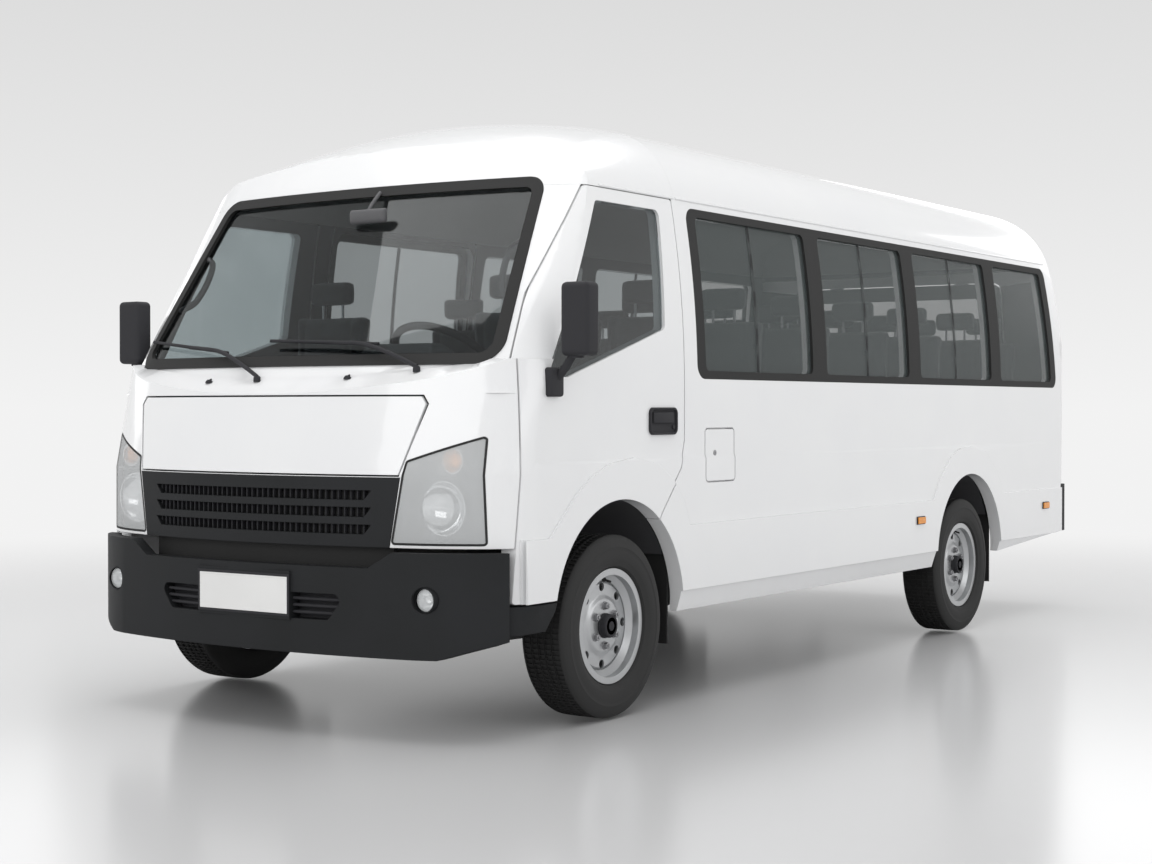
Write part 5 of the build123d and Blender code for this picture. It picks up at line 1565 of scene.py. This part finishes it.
# ---- front bumper: fog lamps, intake and plate ----
@dataclass
class BumperFittings:
    """What the front bumper carries."""

    fog_x: float = 0.781
    fog_z: float = 0.512
    fog_radius: float = 0.046
    plate_half: float = 0.230
    plate_z: tuple[float, float] = (0.430, 0.584)
    plate_y: float = -2.980
    plate_thickness: float = 0.0037
    rim: float = 0.010
    face_y: float = -2.972
    face_radius: float = 2.6
    bar_half: float = 0.43
    bar_radius: float = 0.006
    bar_set: float = 0.012
    bar_z: tuple = (0.448, 0.473, 0.498)
    # The black sheet behind the intake's bars is painted shade for the dark inside of the intake.
    back_half: float = 0.448
    back_set: float = 0.048
    back_wall: float = 0.004
    back_z: tuple[float, float] = (0.418, 0.530)

    def build(self) -> None:
        """Make the fog lamps, the plate and the intake's bars and back."""
        for side in Side:
            self._fog(side)
        self._plate()
        self._intake()

    def _fog(self, side: Side) -> None:
        """One round fog lamp: bezel, reflector and stepped lens.

        Args:
            side: the side that it is on.
        """
        face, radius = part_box("fog_lamps")[0].y, self.fog_radius
        x = side.value * self.fog_x
        shell = Bench.turned("fog_lamp_body_" + side.word, [
            (0.0, radius - 0.006), (0.001, radius - 0.001), (0.010, radius), (0.055, radius - 0.002),
            (0.066, 0.026), (0.070, 0.0), (0.066, 0.0), (0.060, 0.022), (0.046, radius - 0.012),
            (0.008, radius - 0.006)],
            Axis.Y, (x, face, self.fog_z))
        dress(Bench.finish_mesh(shell), CHARCOAL, replaced=["fog_lamps"])
        centre = (x, face + 0.048, self.fog_z)
        dress(Nose.reflector("fog_reflector_" + side.word, centre, radius - 0.010, 0.036), CHROME)
        lens = Bench.turned("fog_lens_" + side.word, [
            (0.002, 0.0), (0.0026, 0.012), (0.0042, 0.026), (0.0072, radius - 0.0065),
            (0.0100, radius - 0.0065), (0.0072, 0.026), (0.0056, 0.012), (0.0050, 0.0)],
            Axis.Y, (x, face, self.fog_z))
        dress(Bench.finish_mesh(lens), LENS, replaced=["fog_lamps"])

    def _plate(self) -> None:
        """The blank plate in a black frame."""
        low, high = self.plate_z
        inner = self.plate_half - self.rim
        back = self.plate_y + self.plate_thickness
        plate = Bench.block("number_plate_blank", (-inner, self.plate_y, low + self.rim),
                            (inner, back, high - self.rim))
        Bench.sink(plate, lambda face: face.normal.y < -FACING, 0.006, (0, 0.0007, 0))
        dress(Bench.finish_mesh(plate, bevel=0.0006, segments=1), PLATE, replaced=["number_plate"])
        surround = Bench.block("number_plate_frame", (-self.plate_half, self.plate_y + 0.0006, low),
                               (self.plate_half, back, high))
        Bench.sink(surround, lambda face: face.normal.y < -FACING, self.rim * 0.9, (0, 0.0015, 0))
        dress(Bench.finish_mesh(surround, bevel=0.0008), BLACK_PLASTIC, replaced=["number_plate"])

    def _across(self, half: float, set_back: float, z: float) -> list[Point]:
        """Points across the intake, along the curve of the bumper's face.

        Args:
            half: how far the row reaches from the middle.
            set_back: how far behind the face it lies.
            z: its height.

        Returns:
            The points, from right to left.
        """
        return [(half * index / 4, self.face_y + (index / 10) ** 2 / (2 * self.face_radius) + set_back, z)
                for index in range(-4, 5)]

    def _intake(self) -> None:
        """Bars across the bumper's lower intake, and a black sheet behind them, painted shade for the dark
        inside of the intake.
        """
        parts = [Bench.hose("intake_bar", self._across(self.bar_half, self.bar_set, z), self.bar_radius)
                 for z in self.bar_z]
        # The black sheet behind the bars: painted shade for the dark inside of the intake.
        low, high = self.back_z
        points = self._across(self.back_half, self.back_set, low)
        points += [(x, y + self.back_wall, z) for x, y, z in reversed(points)]
        parts.append(Bench.outline("intake_back", points, (0, 0, high - low)))
        dress(Bench.finish_mesh(Bench.fused("intake_bars", parts)), BLACK_PLASTIC)


# ---- sides: handles, mirrors, drip strips, the panes' sliders, markers, rail and flap lock ----
@dataclass
class Sides:
    """What the flanks and the front doors carry."""

    handle_y: tuple[float, float] = (-1.812, -1.608)
    handle_z: tuple[float, float] = (1.082, 1.190)
    slide_handle_y: tuple[float, float] = (-1.340, -1.150)
    handle_corner: float = 0.026
    handle_sunk: float = 0.018
    handle_depth: float = 0.030
    lock_from_end: float = 0.024
    row_y: float = -2.040
    slider_y: tuple = (1.141, 2.234, 3.306)
    slider_half: float = 0.011
    slider_room: float = 0.036
    slider_wall: float = 0.005
    belt_z: float = 1.306
    band_top: float = 2.005
    gutter_z: float = 2.036
    gutters: tuple = (("rear", "roof_rear", -1.500, 2.700), ("front", "roof_front", -2.060, -1.520))
    gutter_steps: int = 12
    gutter_radius: float = 0.0055
    marker_y: tuple = (0.750, 2.523)
    marker_z: float = 0.623
    marker_half: tuple[float, float] = (0.048, 0.020)
    marker_rim: tuple[float, float] = (0.005, 0.004)
    mirror_x: tuple[float, float] = (1.085, 1.206)
    mirror_y: tuple[float, float] = (-2.490, -2.405)
    mirror_z: tuple[float, float] = (1.375, 1.640)
    mirror_round: float = 0.024
    mirror_dish: float = 0.008
    foot_x: tuple[float, float] = (0.995, 1.0655)
    foot_set: float = 0.020
    stalk_radius: float = 0.0155
    rail_y: tuple[float, float] = (-0.320, 1.000)
    rail_z: tuple[float, float] = (1.120, 1.144)
    flap_lock: tuple[float, float] = (-1.296, 1.003)

    def build(self) -> None:
        """Make both sides."""
        for side in Side:
            door = "door_" + side.word
            handle = self._handle(side, door, self.handle_y, "door_handle_" + side.word)
            dress(handle, BLACK_PLASTIC, door)
            self._mirror(side)
            self._sliders(side)
            self._gutter(side)
            self._markers(side)
        handle = self._handle(Side.RIGHT, "sliding_door", self.slide_handle_y, "sliding_door_handle")
        dress(handle, BLACK_PLASTIC)
        self._slide_rail()
        self._flap_lock()

    def _handle(self, side: Side, node: str, y_range: tuple[float, float], name: str) -> Piece:
        """A handle in its rounded, recessed shell, on the face of its door.

        Args:
            side: the side that the door is on.
            node: the door's built node.
            y_range: the shell's two ends.
            name: the piece's name.

        Returns:
            The handle.
        """
        (y0, y1), (z0, z1) = y_range, self.handle_z
        corner = self.handle_corner
        face = max(abs(SURFACES.flank(node, side, y, z).x) for y in y_range for z in self.handle_z)
        rim = []
        for turn in range(24):
            angle = math.tau * (turn + 0.5) / 24
            y = (y1 - corner if math.cos(angle) > 0 else y0 + corner) + corner * math.cos(angle)
            z = (z1 - corner if math.sin(angle) > 0 else z0 + corner) + corner * math.sin(angle)
            rim.append((face - self.handle_sunk, y, z))
        shell = Bench.outline(name, rim, (self.handle_depth, 0, 0))
        Bench.sink(shell, lambda f: f.normal.x > FACING, 0.009, (-0.010, 0, 0))
        Bench.finish_mesh(shell, bevel=0.003, segments=3)
        grip_z = (z0 + z1) / 2 + 0.012
        paddle = Bench.block("paddle", (face + 0.001, y0 + 0.020, grip_z - 0.020),
                             (face + 0.013, y1 - 0.034, grip_z + 0.022))
        Bench.draw_in(paddle, lambda f: f.normal.z < -FACING, 0.003, (-0.002, 0, 0.010))
        Bench.finish_mesh(paddle, bevel=0.003, segments=3)
        lock_y, lock_z = y1 - self.lock_from_end, z0 + 0.030
        lock = Bench.bar("lock", (face, lock_y, lock_z), (face + 0.008, lock_y, lock_z), 0.009)
        piece = Bench.fused(name, [shell, paddle, Bench.finish_mesh(lock, bevel=0.0015)])
        return self._on(side, piece)

    @staticmethod
    def _on(side: Side, piece: Piece) -> Piece:
        """The left side's piece, or its mirror image for the right side."""
        return piece if side is Side.LEFT else Bench.swapped(piece)

    def _mirror(self, side: Side) -> None:
        """A door mirror: shell, glass, stalk and foot.

        Args:
            side: the side that it is on.
        """
        (x0, x1), (y0, y1), (z0, z1) = self.mirror_x, self.mirror_y, self.mirror_z
        head = Bench.block("head", (x0, y0, z0), (x1, y1, z1))
        Bench.draw_in(head, lambda f: f.normal.y < -FACING, 0.020)
        Bench.finish_mesh(head, bevel=self.mirror_round, segments=6)
        Bench.sink(head, lambda f: f.normal.y > 0.95 and f.calc_area() > 0.004, 0.008,
                   (0, -self.mirror_dish, 0))
        Bench.finish_mesh(head)
        foot_in, foot_out = self.foot_x
        foot = Bench.block("foot", (foot_in, y0 - self.foot_set, self.belt_z - 0.078),
                           (foot_out, y1 - self.foot_set, self.belt_z + 0.028))
        Bench.finish_mesh(foot, bevel=0.012, segments=4)
        stalk_y = (y0 + y1) / 2 - 0.010
        socket = (x0 + 0.046, stalk_y + 0.012)
        stalk = Bench.hose("stalk", [
            (1.040, stalk_y, self.belt_z - 0.022), (1.072, stalk_y, self.belt_z + 0.006),
            (1.100, stalk_y + 0.008, 1.352), (*socket, z0 + 0.034)], self.stalk_radius)
        boss = Bench.turned("boss", [
            (-0.010, 0.0), (-0.010, 0.026), (0.002, 0.028), (0.010, 0.022), (0.014, 0.0)],
            Axis.Z, (*socket, z0 + 0.002), steps=28)
        shell = Bench.fused("mirror_shell_" + side.word, [head, foot, stalk, Bench.finish_mesh(boss)])
        glass = Bench.block("mirror_glass_" + side.word, (x0 + 0.020, y1 - 0.0085, z0 + 0.026),
                            (x1 - 0.020, y1 - 0.0052, z1 - 0.026))
        Bench.finish_mesh(glass, bevel=0.0012)
        for piece, finish in ((shell, BLACK_PLASTIC), (glass, MIRROR_GLASS)):
            dress(self._on(side, piece), finish, "door_" + side.word, ["mirror_" + side.word])

    def _sliders(self, side: Side) -> None:
        """The uprights and locks of the sliding panes.

        Args:
            side: the side that they are on.
        """
        sign = side.value
        room = self.slider_room
        bars = []
        for y in self.slider_y:
            place = self.row_y + y
            points = []
            for step in range(5):
                z = self.belt_z + room + step / 4 * (self.band_top - self.belt_z - 2 * room)
                spot = SURFACES.flank("side_glass", side, place, z)
                points.append((spot.x + sign * 0.0006, place - self.slider_half, z))
            middle_x, _, middle_z = points[2]
            points += [(x - sign * self.slider_wall, back, z) for x, back, z in reversed(points)]
            upright = Bench.outline("upright", points, (0, 2 * self.slider_half, 0))
            near, far = sorted((middle_x - sign * 0.004, middle_x + sign * 0.0045))
            lock = Bench.block("lock", (near, place - 0.020, middle_z - 0.22),
                               (far, place + 0.020, middle_z - 0.19))
            bars.append(Bench.finish_mesh(upright, bevel=0.001, segments=1))
            bars.append(Bench.finish_mesh(lock, bevel=0.002))
        dress(Bench.fused("window_sliders_" + side.word, bars), CHARCOAL)

    def _gutter(self, side: Side) -> None:
        """The drip strips along the foot of both roof pieces.

        Args:
            side: the side that they are on.
        """
        for part, node, start, end in self.gutters:
            points = []
            for index in range(self.gutter_steps + 1):
                y = start + (end - start) * index / self.gutter_steps
                spot = SURFACES.flank(node, side, y, self.gutter_z)
                points.append((spot.x - side.value * 0.001, y, self.gutter_z))
            strip = Bench.hose(f"drip_strip_{part}_{side.word}", points, self.gutter_radius)
            dress(Bench.finish_mesh(strip), PAINT)

    def _markers(self, side: Side) -> None:
        """The amber markers, each a ribbed lens on a black base.

        Args:
            side: the side that they are on.
        """
        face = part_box("side_markers")[1].x
        (half_y, half_z), (rim_y, rim_z) = self.marker_half, self.marker_rim
        z = self.marker_z
        bases, lenses = [], []
        for y in self.marker_y:
            base = Bench.block("base", (face - 0.012, y - half_y, z - half_z),
                               (face - 0.006, y + half_y, z + half_z))
            bases.append(Bench.finish_mesh(base, bevel=0.002))
            lens = Bench.block("lens", (face - 0.008, y - half_y + rim_y, z - half_z + rim_z),
                               (face - 0.0006, y + half_y - rim_y, z + half_z - rim_z))
            Bench.work(lens, lambda f: f.normal.x > FACING)
            bpy.ops.mesh.subdivide(number_cuts=5)
            bpy.ops.mesh.inset(thickness=0.0015, use_individual=True)
            bpy.ops.mesh.extrude_region_move(TRANSFORM_OT_translate={"value": (0.0006, 0, 0)})
            Bench.close()
            lenses.append(Bench.finish_mesh(lens, bevel=0.0008, segments=1))
        banks = (("marker_bases_", bases, BLACK_PLASTIC), ("marker_lenses_", lenses, AMBER))
        for name, parts, finish in banks:
            piece = Bench.fused(name + side.word, parts)
            dress(self._on(side, piece), finish, replaced=["side_markers"])

    def _slide_rail(self) -> None:
        """The rail that the sliding door runs on, behind it along the right side."""
        (start, end), (low, high) = self.rail_y, self.rail_z
        points = []
        for index in range(11):
            y = start + (end - start) * index / 10
            points.append((SURFACES.flank("side_right", Side.RIGHT, y, low).x, y, low))
        points += [(x + 0.004, y, z) for x, y, z in reversed(points)]
        rail = Bench.outline("sliding_door_rail", points, (0, 0, high - low))
        dress(Bench.finish_mesh(rail, bevel=0.0012, segments=1), BLACK_PLASTIC)

    def _flap_lock(self) -> None:
        """The fuel flap's round lock."""
        face = SURFACES.flank("fuel_flap", Side.LEFT, *self.flap_lock).x
        lock = Bench.turned("fuel_flap_lock", [
            (-0.004, 0.0), (-0.004, 0.012), (0.0012, 0.012), (0.0020, 0.0112), (0.0020, 0.0035),
            (0.0006, 0.0030), (0.0006, 0.0)], Axis.X, (face, *self.flap_lock), steps=32)
        dress(Bench.finish_mesh(lock), BARE_STEEL, "fuel_flap")


# ---- the cabin ----
@dataclass(frozen=True)
class Place:
    """One seat: where its back's front face is, and which group of seats it belongs to."""

    group: str
    x: float
    y: float


@dataclass
class Cabin:
    """Padded seats, wheel and stalks, instrument hood, mirror and grab handles."""

    seat_width: float = 0.425
    seat_length: float = 0.450
    cushion_z: tuple[float, float] = (1.070, 1.180)
    back_top: float = 1.600
    back_depth: float = 0.095
    back_foot: float = 1.100
    rest_half: float = 0.125
    rest_z: tuple[float, float] = (1.614, 1.735)
    post_x: float = 0.055
    post_y: float = 0.048
    post_z: tuple[float, float] = (1.570, 1.650)
    post_radius: float = 0.006
    voxel: float = 0.0125
    pressure: float = 4.0
    cloth_frames: int = 20
    cap: float = 0.018
    shrink: float = 0.012
    pad_round: float = 0.022
    back_reach: float = 0.040
    cushion_reach: float = 0.045
    line_pull: float = 0.8
    panel_facing: float = 0.6
    panel_half: float = 0.128
    channel_depth: float = 0.006
    channel_width: float = 0.011
    back_channels: tuple = (1.235, 1.355, 1.475)
    cushion_channels: tuple = (-0.345, -0.230, -0.115)
    first_row: float = -1.390
    row_pitch: float = 0.660
    rows: int = 6
    pair_x: float = 0.520
    single_x: float = -0.733
    cab_seat_x: float = 0.480
    cab_seat_y: float = -1.980
    bench_y: float = 2.580
    stalk_line: tuple = ((0.0, -2.400, 1.290), (0.09, -2.395, 1.305), (0.165, -2.385, 1.322))
    column_x: float = 0.450
    stalk_radius: float = 0.007
    cab_mirror: tuple[Point, Point] = ((0.004, -2.384, 1.912), (0.184, -2.362, 1.968))
    mirror_line: tuple = ((0.094, -2.372, 1.96), (0.094, -2.355, 1.990), (0.094, -2.300, 2.040))
    mirror_stalk: float = 0.008
    hood: tuple[Point, Point] = ((0.280, -2.640, 1.355), (0.620, -2.500, 1.400))
    hood_rise: float = 0.026
    grab_line: tuple = (
        (0.860, -2.470, 1.590), (0.800, -2.450, 1.602), (0.772, -2.410, 1.670), (0.764, -2.372, 1.745),
        (0.782, -2.340, 1.806), (0.845, -2.330, 1.818),
    )
    grab_radius: float = 0.013

    def places(self) -> list[Place]:
        """Every seat in the cabin.

        Returns:
            The cab's two seats, the rows from the front, and the bench at the back.
        """
        half = self.seat_width / 2
        seats = [Place("front", side.value * self.cab_seat_x, self.cab_seat_y) for side in Side]
        for row in range(self.rows):
            y = self.first_row + row * self.row_pitch
            seats += [Place("left", self.pair_x - half, y), Place("left", self.pair_x + half, y)]
            if row:
                seats.append(Place("right", self.single_x, y))
        seats += [Place("rear", (index - 1.5) * self.seat_width, self.bench_y) for index in range(4)]
        return seats

    def build(self) -> None:
        """Make the seats and the cab's fittings."""
        half = self.seat_width / 2
        cushion = self._pad("seat_cushion_pattern", (-half, -self.seat_length, self.cushion_z[0]),
                            (half, -0.002, self.cushion_z[1]))
        back = self._pad("seat_back_pattern", (-half, 0.002, self.back_foot),
                         (half, self.back_depth, self.back_top))
        rest = self._pad("head_rest_pattern", (-self.rest_half, 0.004, self.rest_z[0]),
                         (self.rest_half, self.back_depth - 0.012, self.rest_z[1]))
        self._channels(cushion, upright=False)
        self._channels(back, upright=True)
        self._set_out(cushion, "seat_cushions_", "seat_cushions")
        self._set_out(back, "seat_backs_", "seat_backs")
        self._set_out(rest, "head_rests_", "seat_backs")
        self._posts()
        for pattern in (cushion, back, rest):
            bpy.data.objects.remove(pattern)
        self._steering_wheel()
        self._cab_mirror()
        self._grab_handles()
        self._instrument_hood()

    def _pad(self, name: str, low: Point, high: Point) -> Piece:
        """A stuffed pad between two corners, swelled by pressure as cloth.

        Args:
            name: the pattern's name.
            low: the lowest corner of the finished pad.
            high: the highest corner.

        Returns:
            The pad, smooth and capped.
        """
        pad = Bench.block(name, tuple(a + self.shrink for a in low), tuple(b - self.shrink for b in high))
        Bench.finish_mesh(pad, bevel=self.pad_round, segments=4)
        remesh = pad.modifiers.new("even_cloth", "REMESH")
        remesh.mode = "VOXEL"
        remesh.voxel_size = self.voxel
        bpy.ops.object.modifier_apply(modifier=remesh.name)
        before = [vertex.co.copy() for vertex in pad.data.vertices]
        cloth = pad.modifiers.new("stuffing", "CLOTH")
        cloth.settings.use_pressure = True
        cloth.settings.uniform_pressure_force = self.pressure
        cloth.settings.quality = 5
        cloth.settings.effector_weights.gravity = 0
        cloth.collision_settings.use_collision = False
        for step in range(self.cloth_frames):
            bpy.context.scene.frame_set(step + 1)
        bpy.ops.object.modifier_apply(modifier=cloth.name)
        bpy.context.scene.frame_set(1)
        for vertex, start in zip(pad.data.vertices, before):
            move = vertex.co - start
            if move.length > self.cap:
                vertex.co = start + move.normalized() * self.cap
            for axis in range(3):
                vertex.co[axis] = min(max(vertex.co[axis], low[axis]), high[axis])
        Bench.pick(pad)
        bpy.ops.object.shade_smooth()
        return pad

    def _channels(self, pad: Piece, upright: bool) -> None:
        """Press the sewn channels in, and mark the panel between them.

        Args:
            pad: the pattern of a back or a cushion.
            upright: whether it is a back.
        """
        lines = self.back_channels if upright else self.cushion_channels
        for vertex in pad.data.vertices:
            x, y, z = vertex.co
            if (y >= self.back_reach) if upright else (z <= self.cushion_z[1] - self.cushion_reach):
                continue
            run = z if upright else y
            pull = self._pull(abs(x) - self.panel_half)
            if abs(x) < self.panel_half:
                pull = max(pull, *(self.line_pull * self._pull(run - line) for line in lines))
            if upright:
                vertex.co.y += self.channel_depth * pull
            else:
                vertex.co.z -= self.channel_depth * pull
        pad.data.materials.append(CLOTH.build())
        pad.data.materials.append(CLOTH_LIGHT.build())
        for face in pad.data.polygons:
            ahead = -face.normal.y if upright else face.normal.z
            face.material_index = int(ahead > self.panel_facing and abs(face.center.x) < self.panel_half)

    def _pull(self, away: float) -> float:
        """How far a stitch draws the cloth in, as a share, at a distance from it."""
        return math.exp(-(away / self.channel_width) ** 2)

    def _set_out(self, pattern: Piece, prefix: str, replaced: str) -> None:
        """Copy a pad to every seat and join each group's copies.

        Args:
            pattern: the pad.
            prefix: the start of the joined pieces' names.
            replaced: the built node that they stand for.
        """
        groups: dict[str, list[Piece]] = {}
        for place in self.places():
            copy = Bench.copy_at(pattern, "pad", (place.x, place.y, 0))
            groups.setdefault(place.group, []).append(copy)
        for group, copies in groups.items():
            piece = Bench.fused(prefix + group, copies)
            dress(piece, CLOTH, replaced=[replaced])

    def _posts(self) -> None:
        """The head rests' steel posts."""
        low, high = self.post_z
        posts = []
        for place in self.places():
            y = place.y + self.post_y
            for x in (place.x - self.post_x, place.x + self.post_x):
                posts.append(Bench.bar("post", (x, y, low), (x, y, high), self.post_radius, 10))
        dress(Bench.finish_mesh(Bench.fused("head_rest_posts", posts)), BARE_STEEL)

    def _steering_wheel(self) -> None:
        """The built wheel and column, smooth, with two stalks."""
        piece = Bench.node_copy("steering_wheel", "steering_wheel_dressed")
        dress(Bench.finish_mesh(piece), BLACK_PLASTIC, replaced=["steering_wheel"])
        stalks = []
        for sign in (-1, 1):
            line = [(self.column_x + sign * x, y, z) for x, y, z in self.stalk_line]
            stalks.append(Bench.hose("stalk", line, self.stalk_radius))
        dress(Bench.finish_mesh(Bench.fused("column_stalks", stalks)), BLACK_PLASTIC)

    def _cab_mirror(self) -> None:
        """The inner mirror on its stalk, under the roof's front edge."""
        head = Bench.block("cab_mirror", *self.cab_mirror)
        Bench.draw_in(head, lambda f: f.normal.y < -FACING, 0.012, (0, -0.008, 0))
        Bench.finish_mesh(head, bevel=0.008, segments=3)
        stalk = Bench.hose("stalk", self.mirror_line, self.mirror_stalk)
        piece = Bench.fused("cab_mirror", [head, stalk])
        dress(Bench.finish_mesh(piece), INTERIOR)

    def _grab_handles(self) -> None:
        """Grab handles on the windscreen pillars' inner faces."""
        for side in Side:
            line = [(side.value * x, y, z) for x, y, z in self.grab_line]
            handle = Bench.hose("grab_handle_" + side.word, line, self.grab_radius)
            dress(Bench.finish_mesh(handle), INTERIOR)

    def _instrument_hood(self) -> None:
        """The hood over the dials, on the dashboard."""
        hood = Bench.block("instrument_hood", *self.hood)
        Bench.draw_in(hood, lambda f: f.normal.z > FACING, 0.030, (0, 0, self.hood_rise))
        dress(Bench.finish_mesh(hood, bevel=0.012, segments=4), INTERIOR)


# ---- the tail ----
@dataclass
class Tail:
    """Rear lamps in three parts, and the tailgate's handle, wiper, plate place and plate lamp."""

    lamp_z: tuple[float, float] = (0.852, 1.098)
    lamp_play: float = 0.0004
    lamp_parts: tuple = (
        ("rear_lamp_turn", 0.0, 0.30, AMBER),
        ("rear_lamp_reverse", 0.31, 0.52, LENS),
        ("rear_lamp_stop", 0.53, 1.0, RED),
    )
    grip_z: tuple[float, float] = (1.150, 1.210)
    grip_half: float = 0.115
    grip_x: tuple[float, float] = (-0.095, 0.070)
    wiper_z: float = 1.280
    wiper_clear: float = 0.010
    wiper_points: tuple = ((0.02, 1.345), (0.17, 1.36), (0.32, 1.375))
    plate_half: float = 0.270
    plate_z: tuple[float, float] = (0.860, 1.010)
    plate_level: float = 0.930
    lamp_half: float = 0.075

    def build(self) -> None:
        """Make the tail's pieces."""
        self._lamps()
        self._handle()
        self._wiper()
        self._plate_place()

    def _lamps(self) -> None:
        """Cut copies of the built lamps into their coloured parts."""
        low, high = self.lamp_z
        height = high - low
        for name, start, end, finish in self.lamp_parts:
            piece = Bench.node_copy("rear_lamps", name)
            foot, top = low + start * height + self.lamp_play, low + end * height - self.lamp_play
            for level, keep_above in ((foot, True), (top, False)):
                Bench.open_all(piece)
                bpy.ops.mesh.bisect(plane_co=(0, 0, level), plane_no=(0, 0, 1), use_fill=True,
                                    clear_inner=keep_above, clear_outer=not keep_above)
                Bench.close()
            dress(Bench.finish_mesh(piece), finish, replaced=["rear_lamps"])

    def _handle(self) -> None:
        """The tailgate's grip, under its window."""
        low, high = self.grip_z
        face = SURFACES.tail("tailgate", 0.0, (low + high) / 2).y
        start, end = self.grip_x
        grip = Bench.block("tailgate_grip", (-self.grip_half, face - 0.012, low),
                           (self.grip_half, face + 0.010, high))
        Bench.sink(grip, lambda f: f.normal.y > FACING, 0.008, (0, -0.014, 0))
        paddle = Bench.block("paddle", (start, face - 0.006, low + 0.026), (end, face + 0.009, high - 0.010))
        parts = [Bench.finish_mesh(part, bevel=0.004, segments=3) for part in (grip, paddle)]
        dress(Bench.finish_mesh(Bench.fused("tailgate_handle", parts)), BLACK_PLASTIC, "tailgate")

    def _wiper(self) -> None:
        """The rear window's wiper on the tailgate."""
        spot = SURFACES.tail("tailgate", 0.0, self.wiper_z)
        points = [(x, SURFACES.tail("tailgate_glass", x, z).y + self.wiper_clear, z)
                  for x, z in self.wiper_points]
        hub = Bench.turned("hub", [
            (-0.004, 0.0), (-0.004, 0.020), (0.014, 0.017), (0.020, 0.010), (0.020, 0.0)],
            Axis.Y, tuple(spot), steps=28)
        arm_line = [spot + Vector((0, 0.012, 0)), (0.08, spot.y + 0.014, 1.315), points[1]]
        arm = Bench.hose("arm", arm_line, 0.006)
        blade_line = [(-0.03, points[0][1], 1.340), *points, (0.36, points[2][1], 1.379)]
        blade = Bench.hose("blade", blade_line, 0.0055)
        piece = Bench.fused("tailgate_wiper", [hub, arm, blade])
        dress(Bench.finish_mesh(piece), BLACK_PLASTIC, "tailgate")

    def _plate_place(self) -> None:
        """The bare place for a plate on the tailgate, with its lamp above."""
        low, high = self.plate_z
        face = SURFACES.tail("tailgate", 0.0, self.plate_level).y
        panel = Bench.block("tailgate_plate_place", (-self.plate_half, face - 0.004, low),
                            (self.plate_half, face + 0.004, high))
        Bench.sink(panel, lambda f: f.normal.y > FACING, 0.012, (0, -0.003, 0))
        dress(Bench.finish_mesh(panel, bevel=0.0015), CHARCOAL, "tailgate")
        lamp = Bench.block("plate_lamp", (-self.lamp_half, face - 0.004, high + 0.012),
                           (self.lamp_half, face + 0.012, high + 0.036))
        Bench.draw_in(lamp, lambda f: f.normal.z < -FACING, 0.004)
        dress(Bench.finish_mesh(lamp, bevel=0.004, segments=3), BLACK_PLASTIC, "tailgate")


def main() -> None:
    """Build every sub-assembly in order."""
    logging.basicConfig(level=logging.INFO, format="%(message)s")
    for part in (Studio(), Panels(), Wheels(), Nose(), BumperFittings(), Sides(), Cabin(), Tail()):
        LOG.info("building %s", type(part).__name__)
        part.build()


if __name__ == "__main__":
    main()
